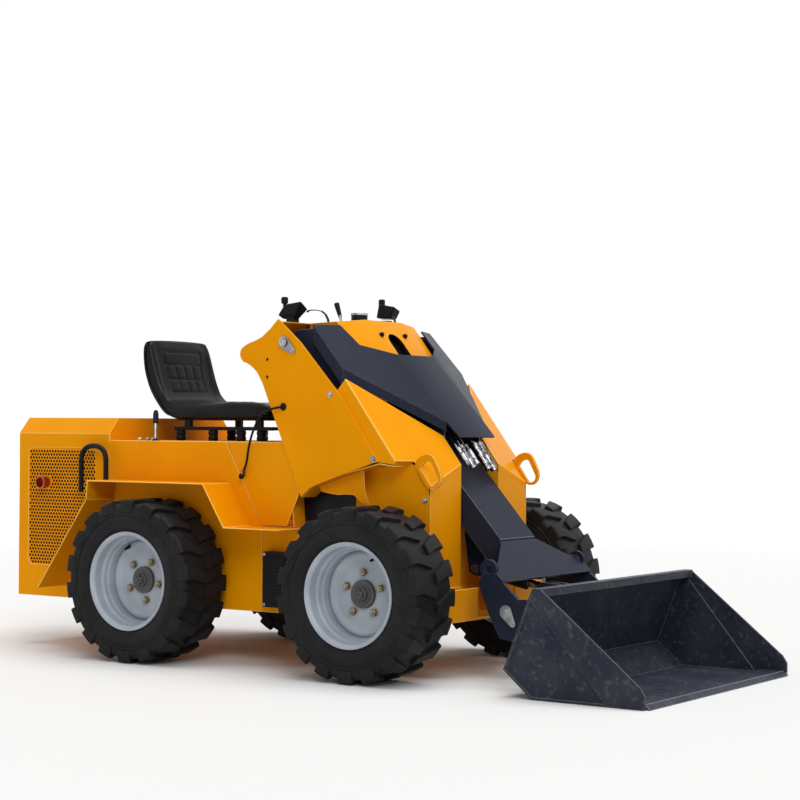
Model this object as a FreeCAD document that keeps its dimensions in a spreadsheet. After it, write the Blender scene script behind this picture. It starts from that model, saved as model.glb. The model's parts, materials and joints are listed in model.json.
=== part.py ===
import FreeCAD, Part
import math
import os

import Sketcher
from FreeCAD import Placement, Rotation, Vector

# Compact ride-on skid steer loader, in millimetres.
# +X runs forward to the bucket, +Y to the machine's left and +Z up. The origin is on the
# ground under the middle of the machine, midway between the tail and the bucket's lip.

SIZES = (
    # name, millimetres
    ("tail_reach", 1690), ("lip_reach", 1034), ("wheelbase", 938), ("wheel_track", 950),
    ("tyre_radius", 282), ("tyre_width", 214), ("lug_height", 18), ("rim_radius", 171), ("rim_width", 200),
    ("rim_wall", 6), ("rim_seat", 160), ("rim_well", 146), ("hub_bore", 46), ("hub_radius", 62),
    ("frame_half", 303), ("body_half", 345), ("tower_half", 388), ("slot_half", 118), ("step_half", 490),
    ("belly_height", 184), ("deck_height", 764), ("hood_rise", 81), ("hood_eaves", 24),
    ("hood_bevel", 50), ("hood_length", 455), ("fender_room", 58), ("step_height", 476),
    ("sheet", 4), ("plate", 8), ("frame_wall", 6), ("front_reach", 135), ("sill_reach", 205),
    ("slot_depth", 60), ("well_back", 660), ("tower_bolt", 6.5), ("bolt_spacing", 59.5),
    ("cord_hole", 11), ("apron_room", 14), ("well_front", 372), ("leg_back", 165),
    ("grille_pitch", 34), ("grille_hole", 23), ("grille_sheet", 2), ("keeper", 5),
    ("pivot_back", 402), ("pivot_height", 1100), ("pivot_radius", 19), ("pin_gap", 0.1),
    ("hinge_ahead", 416), ("hinge_height", 234), ("hinge_radius", 14),
    ("arm_half", 110), ("arm_wall", 8), ("arm_depth", 127), ("head_half", 289), ("yoke_half", 340),
    ("yoke_plate", 12), ("cover_sheet", 6), ("cover_skirt", 30), ("near_skirt", 58), ("lug_plate", 8), ("side_gap", 4),
    ("lift_offset", 250), ("lift_foot_back", 260), ("lift_foot_height", 250), ("lift_eye_back", 230),
    ("lift_eye_height", 980), ("lift_barrel", 32), ("lift_rod", 18), ("lift_pin", 15), ("eye_half", 17),
    ("tilt_foot_ahead", 140), ("tilt_foot_height", 345), ("tilt_eye_ahead", 393), ("tilt_eye_height", 291),
    ("tilt_barrel", 25), ("tilt_rod", 13),
    ("bucket_half", 512), ("bucket_clear", 2), ("bucket_sheet", 6), ("bucket_band", 8), ("bucket_top", 335), ("bucket_back", 643),
    ("heel_back", 542), ("heel_height", 84), ("floor_back", 640),
    ("seat_half", 195), ("seat_rise", 161), ("back_rise", 206), ("rail_rise", 42), ("console_half", 219),
)


class Size:
    """A length together with the expression over the sheet's cells that gives it."""

    def __init__(self, value, text):
        self.value = float(value)
        self.text = text

    def _join(self, sign, other, flip=False):
        if not isinstance(other, Size):
            other = Size(other, repr(other))
        first, second = (other, self) if flip else (self, other)
        value = {"+": first.value + second.value, "-": first.value - second.value,
                 "*": first.value * second.value, "/": first.value / (second.value or 1.0)}[sign]
        return Size(value, "(%s %s %s)" % (first.text, sign, second.text))

    def __add__(self, other):
        return self._join("+", other)

    def __radd__(self, other):
        return self._join("+", other, True)

    def __sub__(self, other):
        return self._join("-", other)

    def __rsub__(self, other):
        return self._join("-", other, True)

    def __mul__(self, other):
        return self._join("*", other)

    def __rmul__(self, other):
        return self._join("*", other, True)

    def __truediv__(self, other):
        return self._join("/", other)

    def __neg__(self):
        return self._join("*", -1.0)

    def __float__(self):
        return self.value


def num(size):
    return float(size)


def text(size):
    return size.text if isinstance(size, Size) else repr(float(size))


doc = FreeCAD.newDocument("skid_steer_loader")
sheet_object = doc.addObject("Spreadsheet::Sheet", "Sizes")
for row, (alias, value) in enumerate(SIZES, start=1):
    sheet_object.set("A%d" % row, alias)
    sheet_object.set("B%d" % row, str(value))
    sheet_object.setAlias("B%d" % row, alias)
doc.recompute()
S = {alias: Size(sheet_object.get(alias), "Sizes." + alias) for alias, value in SIZES}

nodes = {}


def node(name, item):
    """Names the object that is written to the file of this name."""
    item.Label = name
    nodes[name] = item
    return item


# Shared places. Lengths along the machine are counted from the front axle.
front_axle = (S["tail_reach"] - S["lip_reach"]) / 2.0
rear_axle = front_axle - S["wheelbase"]
tail = front_axle - S["tail_reach"]
axle_height = S["tyre_radius"]
hood_top = S["deck_height"] + S["hood_rise"]
hood_edge = S["deck_height"] + S["hood_eaves"]
fender_top = S["tyre_radius"] * 2 + S["fender_room"]
seat_height = S["deck_height"] + S["seat_rise"]
back_height = seat_height + S["back_rise"]


def ahead(distance):
    return front_axle + distance


pivot = (ahead(-S["pivot_back"]), S["pivot_height"])
hinge = (ahead(S["hinge_ahead"]), S["hinge_height"])
lift_foot = (ahead(-S["lift_foot_back"]), S["lift_foot_height"])
lift_eye = (ahead(-S["lift_eye_back"]), S["lift_eye_height"])
tilt_foot = (ahead(S["tilt_foot_ahead"]), S["tilt_foot_height"])
tilt_eye = (ahead(S["tilt_eye_ahead"]), S["tilt_eye_height"])
hood_front = tail + S["hood_length"]


class Piece:
    """A PartDesign body built from sketches on its own origin planes."""

    # plane: where a pad that starts at a given low value needs its sketch, and which way it grows
    GROWS = {"XZ": -1, "XY": 1, "YZ": 1}

    def __init__(self, name):
        self.body = doc.addObject("PartDesign::Body", name)
        self.count = 0

    def plane(self, role):
        for feature in self.body.Origin.OriginFeatures:
            if feature.Role == role + "_Plane":
                return feature

    def sketch(self, role, loops, level):
        self.count += 1
        sketch = self.body.newObject("Sketcher::SketchObject", "%s_sketch%d" % (self.body.Name, self.count))
        sketch.AttachmentSupport = [(self.plane(role), "")]
        sketch.MapMode = "FlatFace"
        level = level * self.GROWS[role]
        sketch.AttachmentOffset = Placement(Vector(0, 0, num(level)), Rotation())
        sketch.setExpression("AttachmentOffset.Base.z", text(level))
        rules = []
        for loop in loops:
            first = sketch.GeometryCount
            if loop[0] == "circle":
                centre, radius = loop[1], loop[2]
                spot = Vector(num(centre[0]), num(centre[1]), 0)
                sketch.addGeometry(Part.Circle(spot, Vector(0, 0, 1), num(radius)), False)
                rules += [("DistanceX", first, 3, centre[0]), ("DistanceY", first, 3, centre[1]),
                          ("Radius", first, None, radius)]
                continue
            spots = [Vector(num(a), num(b), 0) for a, b in loop]
            sketch.addGeometry([Part.LineSegment(spots[i], spots[(i + 1) % len(spots)])
                                for i in range(len(spots))], False)
            sketch.addConstraint([Sketcher.Constraint("Coincident", first + i, 2, first + (i + 1) % len(spots), 1)
                                  for i in range(len(spots))])
            for i, (a, b) in enumerate(loop):
                rules += [("DistanceX", first + i, 1, a), ("DistanceY", first + i, 1, b)]
        for kind, item, end, size in rules:
            if kind == "Radius":
                index = sketch.addConstraint(Sketcher.Constraint("Radius", item, num(size)))
            else:
                index = sketch.addConstraint(Sketcher.Constraint(kind, -1, 1, item, end, num(size)))
            if isinstance(size, Size):
                sketch.setExpression("Constraints[%d]" % index, size.text)
        return sketch

    def pad(self, role, outline, low, thick, holes=()):
        level = low + thick if role == "XZ" else low
        sketch = self.sketch(role, [outline] + list(holes), level)
        feature = self.body.newObject("PartDesign::Pad", "%s_pad%d" % (self.body.Name, self.count))
        feature.Profile = sketch
        feature.Length = num(thick)
        feature.setExpression("Length", text(thick))
        sketch.Visibility = False
        return self

    def pocket(self, role, outline, low, thick, holes=()):
        doc.recompute()
        before = self.body.Shape.Volume
        level = low if role == "XZ" else low + thick
        sketch = self.sketch(role, [outline] + list(holes), level)
        feature = self.body.newObject("PartDesign::Pocket", "%s_pocket%d" % (self.body.Name, self.count))
        feature.Profile = sketch
        feature.Length = num(thick)
        feature.setExpression("Length", text(thick))
        doc.recompute()
        if self.body.Shape.Volume > before - 1.0:
            raise RuntimeError("%s: pocket %d cuts nothing" % (self.body.Name, self.count))
        return self

    def turn(self, role, outline, axis="H_Axis"):
        sketch = self.sketch(role, [outline], Size(0.0, "0"))
        feature = self.body.newObject("PartDesign::Revolution", "%s_turn%d" % (self.body.Name, self.count))
        feature.Profile = sketch
        feature.ReferenceAxis = (sketch, [axis])
        feature.Angle = 360.0
        return self

    def at(self, x=0, y=0, z=0):
        self.body.Placement = Placement(Vector(num(x), num(y), num(z)), Rotation())
        for axis, size in (("x", x), ("y", y), ("z", z)):
            if isinstance(size, Size):
                self.body.setExpression("Placement.Base." + axis, size.text)
        return self


def mirrored(item, name):
    twin = doc.addObject("Part::Mirroring", name)
    twin.Source = item
    twin.Normal = Vector(0, 1, 0)
    twin.Base = Vector(0, 0, 0)
    return twin


def group(name, items):
    """Like pieces on one body that don't touch share one node."""
    together = doc.addObject("Part::Compound", name)
    together.Links = items
    return node(name, together)


def pair(name, item):
    return group(name, [item, mirrored(item, name + "_twin")])


def box(low, high):
    return [(low[0], low[1]), (high[0], low[1]), (high[0], high[1]), (low[0], high[1])]


def ribbon(run, thick):
    """Outline of a folded sheet from the line of its upper side. Thick goes to the line's right."""
    spots = [(num(x), num(z)) for x, z in run]
    under = []
    for i, (x, z) in enumerate(spots):
        normals = []
        for a, b in ((i - 1, i), (i, i + 1)):
            if 0 <= a and b < len(spots):
                dx, dz = spots[b][0] - spots[a][0], spots[b][1] - spots[a][1]
                long = math.hypot(dx, dz)
                normals.append((dz / long, -dx / long))
        nx = sum(n[0] for n in normals) / len(normals)
        nz = sum(n[1] for n in normals) / len(normals)
        grow = nx * nx + nz * nz
        under.append((run[i][0] + thick * (nx / grow), run[i][1] + thick * (nz / grow)))
    return list(run) + under[::-1]


def round_bar(name, start, end, radius, bore=None):
    """A straight bar, or tube, between two points given as sizes."""
    a = Vector(*[num(v) for v in start])
    b = Vector(*[num(v) for v in end])
    shape = Part.makeCylinder(num(radius), (b - a).Length, a, b - a)
    if bore is not None:
        shape = shape.cut(Part.makeCylinder(num(bore), (b - a).Length, a, b - a))
    return shape


def solid_feature(name, shape):
    item = doc.addObject("Part::Feature", name)
    item.Shape = shape
    item.Placement = Placement()
    return item


def facet(points, thick):
    """A flat sheet through corner points. It grows by thick against the corners' normal."""
    spots = [Vector(*[num(v) for v in point]) for point in points]
    normal = Vector()
    for here, there in zip(spots, spots[1:] + spots[:1]):
        normal += here.cross(there)
    normal.normalize()
    origin = spots[0]
    flat = [p - normal * (p - origin).dot(normal) for p in spots]
    face = Part.Face(Part.makePolygon(flat + [flat[0]]))
    return face.extrude(normal * -num(thick))


def prism(outline, low_y, high_y):
    """A plate between two values of Y, from an outline of (x, z) places."""
    spots = [Vector(num(x), num(low_y), num(z)) for x, z in outline]
    face = Part.Face(Part.makePolygon(spots + [spots[0]]))
    return face.extrude(Vector(0, num(high_y) - num(low_y), 0))


# Lower frame
def lower_frame():
    inner = S["body_half"] - S["sheet"]
    wall = S["frame_wall"]
    rear_top = S["deck_height"] - S["sheet"]
    belly = S["belly_height"]
    front = ahead(S["front_reach"] - S["frame_wall"])
    split = ahead(-S["well_front"])
    frame = Piece("lower_frame")
    frame.pad("XY", box((tail + S["sheet"], -inner), (split, inner)), belly, S["step_height"] - belly)
    frame.pad("XY", box((split, -S["frame_half"]), (front, S["frame_half"])), belly, S["step_height"] - belly)
    frame.pocket("XY", box((tail + S["sheet"] + wall, -inner + wall), (split - wall, inner - wall)),
                 belly + wall, S["step_height"] - belly)
    frame.pocket("XY", box((split, -S["frame_half"] + wall), (front - wall, S["frame_half"] - wall)),
                 belly + wall, S["step_height"] - belly)
    # the arm's slot between the legs, closed by three walls
    slot = S["slot_half"]
    cut = ahead(S["slot_depth"])
    frame.pocket("XY", box((cut, -slot), (front + 1, slot)), belly + wall, S["step_height"] - belly)
    for low in (-slot - wall, slot):
        frame.pad("XY", box((cut - wall, low), (front - wall, low + wall)), belly + wall, S["step_height"] - belly - wall)
    frame.pad("XY", box((cut - wall, -slot), (cut, slot)), belly + wall, S["step_height"] - belly - wall)
    # room for the perforated sheets behind the side panels
    frame.pocket("XZ", box((ahead(-1652), 289.0), (ahead(-1292), S["step_height"])), -inner, inner * 2)
    return node("lower_frame", frame.body)


lower_frame()


# Edge of the ventilation opening in each rear side panel
GRILLE_EDGE = (
    # ahead, up
    (-1640, 318), (-1624, 301), (-1432, 301), (-1419, 307), (-1309, 458), (-1304, 474), (-1304, 718), (-1320, 734),
    (-1624, 734), (-1640, 718),
)


def inside(x, z, outline, room):
    """Whether a place keeps its distance from every side of a convex outline given counter-clockwise."""
    for (ax, az), (bx, bz) in zip(outline, outline[1:] + outline[:1]):
        side = (bx - ax) * (z - az) - (bz - az) * (x - ax)
        if side < room * math.hypot(bx - ax, bz - az):
            return False
    return True


def grilles():
    """Perforated sheet behind each ventilation opening, with staggered rows of six-sided holes."""
    pitch, reach = num(S["grille_pitch"]), num(S["grille_hole"]) / 2.0
    thick, wall = num(S["grille_sheet"]), num(S["body_half"]) - num(S["sheet"])
    edge = list(GRILLE_EDGE)
    grown = [(-1650, 291), (-1420, 291), (-1294, 463), (-1294, 744), (-1650, 744)]
    face_y = -wall
    spots = [Vector(num(front_axle) + x, face_y, z) for x, z in grown]
    wires = [Part.makePolygon(spots + [spots[0]])]
    row = pitch * math.sqrt(0.75)
    for j in range(int(460 / row)):
        for i in range(int(360 / pitch) + 1):
            x, z = -1640 + (i + 0.5 * (j % 2)) * pitch, 301 + (j + 0.5) * row
            if inside(x, z, edge, reach + 3) and math.hypot(x + 1540, z - 605) > 24 + reach:
                corners = [Vector(num(front_axle) + x + reach * math.cos(math.radians(60 * k + 30)), face_y,
                                  z + reach * math.sin(math.radians(60 * k + 30))) for k in range(6)]
                wires.append(Part.makePolygon(corners + [corners[0]]))
    face = Part.makeFace(wires, "Part::FaceMakerBullseye")
    pair("grilles", solid_feature("grille", face.extrude(Vector(0, thick, 0))))


def body_panels():
    """The two side panels, split at the hood's front where the real sheets meet."""
    low = S["belly_height"]
    inner = S["body_half"] - S["sheet"]
    rear = Piece("engine_side")
    rear.pad("XZ", box((tail, low), (hood_front - 1, hood_edge)), -S["body_half"], S["sheet"],
             [[(ahead(x), z) for x, z in GRILLE_EDGE]])
    pair("engine_side_panels", rear.body)
    seam_top = ahead(-690)
    seam_low = ahead(-527)
    mid = Piece("deck_side")
    mid.pad("XZ", [(hood_front + 1, low), (seam_low, low), (seam_low, S["step_height"] + S["sheet"]),
                   (seam_top, S["deck_height"]), (hood_front + 1, S["deck_height"])],
            -S["body_half"], S["sheet"])
    pair("deck_side_panels", mid.body)
    tail_wall = Piece("tail_panel")
    tail_wall.pad("YZ", box((-inner, low), (inner, hood_edge)), tail, S["sheet"])
    node("tail_panel", tail_wall.body)
    grilles()


body_panels()


def hood():
    """Folded engine cover with bevelled sides and its own front wall."""
    edge, top, bevel, sheet = hood_edge, hood_top, S["hood_bevel"], S["sheet"]
    half = S["body_half"]
    inner = half - bevel
    cover = Piece("engine_hood")
    outline = [(-half, edge), (half, edge), (inner, top), (-inner, top)]
    cover.pad("YZ", outline, tail, S["hood_length"])
    hollow = [(-half + sheet * 2, edge), (half - sheet * 2, edge), (inner - sheet, top - sheet), (-inner + sheet, top - sheet)]
    cover.pocket("YZ", hollow, tail + sheet, S["hood_length"] - sheet * 2)
    cover.pad("YZ", box((-half + sheet, S["deck_height"]), (half - sheet, edge + sheet)), hood_front - sheet, sheet)
    node("engine_hood", cover.body)


hood()


def deck():
    """Operator's deck with the foot well in front of the seat."""
    half, sheet = S["body_half"] - S["sheet"], S["sheet"]
    well_back, well_front = ahead(-S["well_back"]), ahead(-S["well_front"])
    top = S["deck_height"]
    plate = Piece("operator_deck")
    plate.pad("XZ", [(hood_front, top - sheet), (well_back - sheet, top - sheet), (well_back - sheet, S["step_height"]),
                     (well_front, S["step_height"]), (well_front, S["step_height"] + sheet),
                     (well_back, S["step_height"] + sheet), (well_back, top), (hood_front, top)],
              -half, half * 2)
    node("operator_deck", plate.body)


deck()


def fenders():
    """Rear fender and step on each side: one folded sheet standing out from the body."""
    top, step, back = fender_top, S["step_height"], rear_axle
    run = [(back - 510, S["belly_height"] + 46), (back - 275, top - 68), (back - 270, top), (back + 266, top),
           (back + 360, step), (ahead(-344), step)]
    wing = Piece("fender")
    wing.pad("XZ", ribbon(run, S["sheet"]), -S["step_half"], S["step_half"] - S["body_half"])
    pair("fenders", wing.body)


fenders()


# Tower: outline of a side plate, ahead of and above the boom's pivot
TOWER_PLATE = (
    # ahead, up
    (-28, 80), (66, 0), (200, -144), (232, -176), (388, -393), (240, -441), (145, -473), (112, -486),
    (74, -518), (62, -488), (-8, -328), (-95, -132), (-117, -98), (-131, -86), (-146, -75), (-161, -67),
    (-177, -62), (-187, -52), (-192, -37), (-189, -23), (-180, -13), (-166, -5), (-149, 2), (-123, 10), (-97, 21),
    (-62, 47),
)


def tower():
    px, pz = pivot
    outline = [(px + a, pz + b) for a, b in TOWER_PLATE]
    plates = []
    for hand, low in (("right", -S["tower_half"]), ("left", S["tower_half"] - S["plate"])):
        holes = [("circle", pivot, S["pivot_radius"])]
        holes += [("circle", (px - 74, pz - drop), S["tower_bolt"]) for drop in (56, 56 + S["bolt_spacing"])]
        if hand == "right":
            holes.append(("circle", (px - 2, pz - 216), S["cord_hole"]))
        side = Piece("tower_side_" + hand)
        side.pad("XZ", outline, low, S["plate"], holes)
        plates.append(side.body)
    group("tower_side_plates", plates)


tower()

# The sloped front of the tower lies in one plane on each side, with this normal
SHOULDER_NORMAL = (0.7766, 0.222, 0.5895)
SHOULDER_NOSE = 696


def shoulder_height(x, y):
    """Height of the shoulder's plane at a distance ahead of the front axle and from the middle."""
    nx, ny, nz = SHOULDER_NORMAL
    nose = nx * (num(S["front_reach"])) + ny * num(S["slot_half"]) + nz * SHOULDER_NOSE
    return (nose - nx * x - ny * y) / nz


def shoulders():
    slot, frame, side = num(S["slot_half"]), num(S["frame_half"]), num(S["tower_half"]) - num(S["plate"])
    # ahead of the front axle, from the middle
    corners = [(-154, side), (64, slot), (num(S["front_reach"]), slot),
               (num(S["front_reach"]), frame), (74, frame), (51, side)]
    points = [(num(front_axle) + x, -y, shoulder_height(x, y)) for x, y in corners]
    item = solid_feature("shoulder", facet(points[::-1], S["frame_wall"]))
    pair("tower_shoulders", item)


shoulders()


def tower_legs():
    """The box legs either side of the boom's slot: inner wall, outer wall and front plate."""
    wall = S["frame_wall"]
    slot, frame = S["slot_half"], S["frame_half"]
    front = ahead(S["front_reach"])
    base = S["step_height"]
    back = ahead(-S["leg_back"])
    drop = num(S["frame_wall"]) / SHOULDER_NORMAL[2] + 2.8
    reach = num(S["front_reach"])

    def roof(x, y):
        return shoulder_height(x, num(y)) - drop

    inner = prism([(back, base), (front, base), (front, roof(reach, slot)), (num(front_axle) + 57, roof(57, slot)),
                   (back, roof(57, slot))], -slot - wall, -slot)
    outer = prism([(back, base), (front, base), (front, roof(reach, frame)), (num(front_axle) + 74, roof(74, frame)),
                   (num(front_axle) - 40, roof(74, frame) + 20), (back, roof(74, frame) + 6)], -frame, -frame + wall)
    ys = [-num(slot), -num(frame)]
    nose = [Vector(num(front) - num(wall), y, num(S["belly_height"])) for y in ys]
    nose += [Vector(num(front) - num(wall), -num(frame), roof(reach, frame)), Vector(num(front) - num(wall), -num(slot), roof(reach, slot))]
    face = Part.Face(Part.makePolygon(nose + [nose[0]])).extrude(Vector(num(wall), 0, 0))
    back_wall = prism([(back, base), (back + wall, base), (back + wall, 560.0), (back, 560.0)], -frame, -slot)
    leg = inner.fuse([outer, face, back_wall]).removeSplitter()
    pair("tower_legs", solid_feature("tower_leg", leg))


tower_legs()


def front_arches():
    """The sheet that closes the tower between its side plate and the frame over each front wheel."""
    px, pz = pivot
    run = [(px + 62, pz - 488), (px + 74, pz - 514), (px + 112, pz - 482), (px + 145, pz - 469),
           (px + 240, pz - 437), (px + 388, pz - 400), (px + 446, pz - 408)]
    outline = ribbon(run, S["sheet"])
    arch = Piece("front_arch")
    arch.pad("XZ", outline, -S["tower_half"] + S["plate"], S["tower_half"] - S["plate"] - S["frame_half"])
    pair("front_arches", arch.body)


front_arches()


def side_aprons():
    """The slanted panel between the deck's side and the tower's rear edge."""
    top, low = num(S["deck_height"]), num(S["step_height"] + S["sheet"]) + 1
    out, body = num(S["tower_half"] - S["plate"]), num(S["body_half"])
    # ahead of the front axle, up; the first three are on known planes
    outline = [(-687, top), (-404, top), (-341, 595), (-405, low), (-521, low)]
    known = [Vector(x, y, z) for (x, z), y in zip(outline, (body, out, out))]
    normal = (known[1] - known[0]).cross(known[2] - known[0])
    points = []
    for x, z in outline:
        y = body - (normal.x * (x - known[0].x) + normal.z * (z - known[0].z)) / normal.y
        points.append((num(front_axle) + x, -y, z))
    pair("side_aprons", solid_feature("side_apron", facet(points[::-1], S["sheet"])))


side_aprons()


def bulkhead():
    """Front wall of the foot well, closing the tower towards the operator."""
    px, pz = pivot
    wall = S["sheet"]
    run = [(px + 26, S["step_height"] + wall), (px + 2, pz - 320), (px - 88, pz - 120), (px - 96, pz - 40), (px - 92, pz + 13)]
    outline = [(x, z) for x, z in run] + [(x + wall, z) for x, z in reversed(run)]
    plate = Piece("bulkhead")
    half = S["tower_half"] - S["plate"] - S["apron_room"]
    plate.pad("XZ", outline, -half, half * 2)
    node("tower_bulkhead", plate.body)


bulkhead()


DASH = ((-104, 8), (-30, 72), (-20, 73))


def console():
    """Dash across the tower's top, and the folded cover that fills the boom's notch."""
    px, pz = pivot
    half, inner, wall = S["tower_half"] - S["plate"], S["console_half"], S["sheet"]
    dash = Piece("console")
    dash.pad("XZ", ribbon([(px + x, pz + z) for x, z in DASH], wall), -half, half * 2)
    run = [(px - 28, pz + 73), (px - 20, pz + 73), (px + 70, pz + 92), (px + 197, pz - 36), (px + 120, pz - 110)]
    dash.pad("XZ", ribbon(run, wall), -inner, inner * 2)
    node("console", dash.body)


console()


def front_sill():
    """Lower front corners of the frame, ahead of the legs, with the plate that joins them."""
    front = ahead(S["front_reach"])
    sill = Piece("front_sill")
    sill.pad("XY", box((front, -S["frame_half"]), (ahead(S["sill_reach"]), S["frame_half"])), S["belly_height"], 106)
    sill.pocket("XY", box((front + 8, -S["frame_half"] + 70), (ahead(S["sill_reach"]) - 8, S["frame_half"] - 70)),
                S["belly_height"] + 8, 98)
    sill.pocket("XY", box((front, -S["slot_half"]), (ahead(S["sill_reach"]), S["slot_half"])),
                S["belly_height"] + 8, 98)
    node("front_sill", sill.body)


front_sill()


# Boom
ARM_SLOPE = 1.12
ARM_NOSE = (284, 452)
COVER_NORMAL = (0.7096, 0.2592, 0.6553)
COVER_FOLD = 110
COVER_REAR = (-132, 1065)
COVER_SLOPE = 1.086
HEAD_PLATE = 8.0


def arm_top(distance):
    """Height of the arm's upper face at a distance ahead of the front axle."""
    return ARM_NOSE[1] + ARM_SLOPE * (ARM_NOSE[0] - distance)


def cover_height(x, y):
    """Height of the boom cover's upper face, from the front axle and the middle."""
    level = COVER_REAR[1] - COVER_SLOPE * (x - COVER_REAR[0])
    nx, ny, nz = COVER_NORMAL
    return level - ny / nz * max(0.0, y - COVER_FOLD)


def cover_under(x, y):
    return cover_height(x, y) - num(S["cover_sheet"]) / COVER_NORMAL[2] - 0.15


def boom_frame():
    px, pz = pivot
    half, wall, depth = S["arm_half"], S["arm_wall"], S["arm_depth"]
    nose = ARM_NOSE[0]
    back = -172
    arm = Piece("boom_frame")
    turn = nose - 35
    arm.pad("XZ", [(ahead(back), arm_top(back) - depth), (ahead(turn), arm_top(turn) - depth), (ahead(nose), 372),
                   (ahead(nose), ARM_NOSE[1]), (ahead(back), arm_top(back))], -half, half * 2)
    inner = wall * 1.5
    arm.pocket("XZ", [(ahead(back + 8), arm_top(back + 8) - depth + inner), (ahead(turn), arm_top(turn) - depth + inner),
                      (ahead(nose), 380), (ahead(nose), ARM_NOSE[1] - inner), (ahead(back + 8), arm_top(back + 8) - inner)],
               -half + wall, (half - wall) * 2)
    # webs from the arm up to the cover
    webs = [(-176, 930), (62, arm_top(62) - 4), (62, cover_under(62, 110)), (-132, cover_under(-132, 110)),
            (-180, cover_under(-132, 110) - 30)]
    for low in (-half, half - wall):
        arm.pad("XZ", [(ahead(x), z) for x, z in webs], low, wall)
    # wall across the yoke
    cheek = S["yoke_half"]
    cross = [(ahead(-180), 934), (ahead(-166), 930), (ahead(-172), 1007), (ahead(-184), 1009)]
    arm.pad("XZ", cross, -cheek + S["yoke_plate"], (cheek - S["yoke_plate"]) * 2)
    outline = [(-438, 1078), (-422, 1056), (-382, 1052), (-270, 926), (-184, 926), (-164, 950),
               (-164, cover_under(-164, 340)), (-300, cover_under(-300, 340)), (-370, 1146), (-438, 1124)]
    outline = [(ahead(x), z) for x, z in outline]
    for low in (-cheek, cheek - S["yoke_plate"]):
        arm.pad("XZ", outline, low, S["yoke_plate"])
    ex, ez = lift_eye
    reach = S["eye_half"] + S["side_gap"]
    lug = [(ex - 24, ez - 20), (ex + 10, ez - 26), (ex + 52, ez - 24), (ex + 48, ez + 30), (ex + 6, ez + 26), (ex - 20, ez + 20)]
    for side in (-1, 1):
        for low in (side * S["lift_offset"] + reach, side * S["lift_offset"] - reach - S["lug_plate"]):
            arm.pad("XZ", lug, low, S["lug_plate"])
    arm.pocket("XZ", ("circle", pivot, S["pivot_radius"] + S["pin_gap"]), -cheek, cheek * 2)
    fx, fz = tilt_foot
    foot = [(fx - 24, fz - 12), (fx + 2, fz - 24), (fx + 24, fz - 8), (fx + 60, fz + 98), (fx - 40, fz + 205), (fx - 52, fz + 190)]
    reach = S["tilt_barrel"] + S["side_gap"]
    for low in (reach, -reach - S["lug_plate"]):
        arm.pad("XZ", foot, low, S["lug_plate"])
    arm.pocket("XZ", ("circle", tilt_foot, S["hinge_radius"]), -reach - S["lug_plate"], reach * 2 + S["lug_plate"] * 2)
    node("boom_frame", arm.body)


boom_frame()


def boom_head():
    """Flared head: top plate, the side plates that hold the hinge pins, and a tube between them."""
    half, arm, plate = S["head_half"], S["arm_half"], HEAD_PLATE
    nose, lip, knee = (290, 445), (404, 331), (380, 355.2)
    points = [(nose[0], -num(arm), nose[1]), (knee[0], -num(half), knee[1]), (lip[0], -num(half), lip[1]),
              (lip[0], num(half), lip[1]), (knee[0], num(half), knee[1]), (nose[0], num(arm), nose[1])]
    shape = facet([(num(front_axle) + x, y, z) for x, y, z in points], plate)
    side = [(312, 318), (326, 352), (362, 366), (398, 331), (460, 275), (490, 277), (503, 243), (478, 178), (434, 142),
            (392, 150), (352, 222)]
    outline = [(num(front_axle) + x, z) for x, z in side]
    pin = Part.makeCylinder(num(S["hinge_radius"]), num(half) * 2, Vector(num(hinge[0]), -num(half), num(hinge[1])), Vector(0, 1, 0))
    for low, high in ((-half, -half + 12), (half - 12, half)):
        shape = shape.fuse(prism(outline, low, high).cut(pin))
    tube = Part.makeCylinder(22, num(half) * 2 - 24, Vector(num(ahead(336)), -num(half) + 12, 362), Vector(0, 1, 0))
    shape = shape.fuse(tube)
    for low in (-num(half), num(half) - 12):
        eye = Part.makeCylinder(31, 12, Vector(num(ahead(349)), low, 367), Vector(0, 1, 0))
        bore = Part.makeCylinder(15, 12, Vector(num(ahead(349)), low, 367), Vector(0, 1, 0))
        shape = shape.fuse(eye).cut(bore)
    web = [(284.2, 438), (284.2, 374), (320, 350), (336, 362), (336, 386)]
    for low, high in ((-arm, -arm + S["arm_wall"]), (arm - S["arm_wall"], arm)):
        shape = shape.fuse(prism([(num(front_axle) + x, z) for x, z in web], low, high))
    node("boom_head", solid_feature("boom_head", shape.removeSplitter()))


boom_head()


def boom_cover():
    """Folded cover over the yoke: a middle strip, a bevelled wing on each side and their skirts."""
    thick = S["cover_sheet"]
    middle = [(-132, -COVER_FOLD), (124, -COVER_FOLD), (124, COVER_FOLD), (-132, COVER_FOLD)]
    wing = [(-272, 248), (-308, 353), (-174, 364), (75, 118), (124, COVER_FOLD), (-132, COVER_FOLD), (-203, 230)]
    shape = facet([(num(front_axle) + x, y, cover_height(x, abs(y))) for x, y in middle], thick)
    for side in (-1, 1):
        points = [(num(front_axle) + x, side * y, cover_height(x, y)) for x, y in wing]
        shape = shape.fuse(facet(points if side < 0 else points[::-1], thick))
        rim = [(-308, 353), (-174, 364), (75, 118)]
        drops = [num(S["near_skirt"]), num(S["cover_skirt"])]
        for (ax, ay), (bx, by), drop in zip(rim, rim[1:], drops):
            top = [Vector(num(front_axle) + x, side * y, cover_height(x, y) - 2) for x, y in ((ax, ay), (bx, by))]
            low = [p - Vector(0, 0, drop) for p in reversed(top)]
            edge = (top[1] - top[0]).cross(Vector(0, 0, 1)).normalize() * num(thick)
            if edge.y * side > 0:
                edge = -edge
            face = Part.Face(Part.makePolygon(top + low + [top[0]]))
            shape = shape.fuse(face.extrude(edge))
    node("boom_cover", solid_feature("boom_cover", shape.removeSplitter()))


boom_cover()


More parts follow.
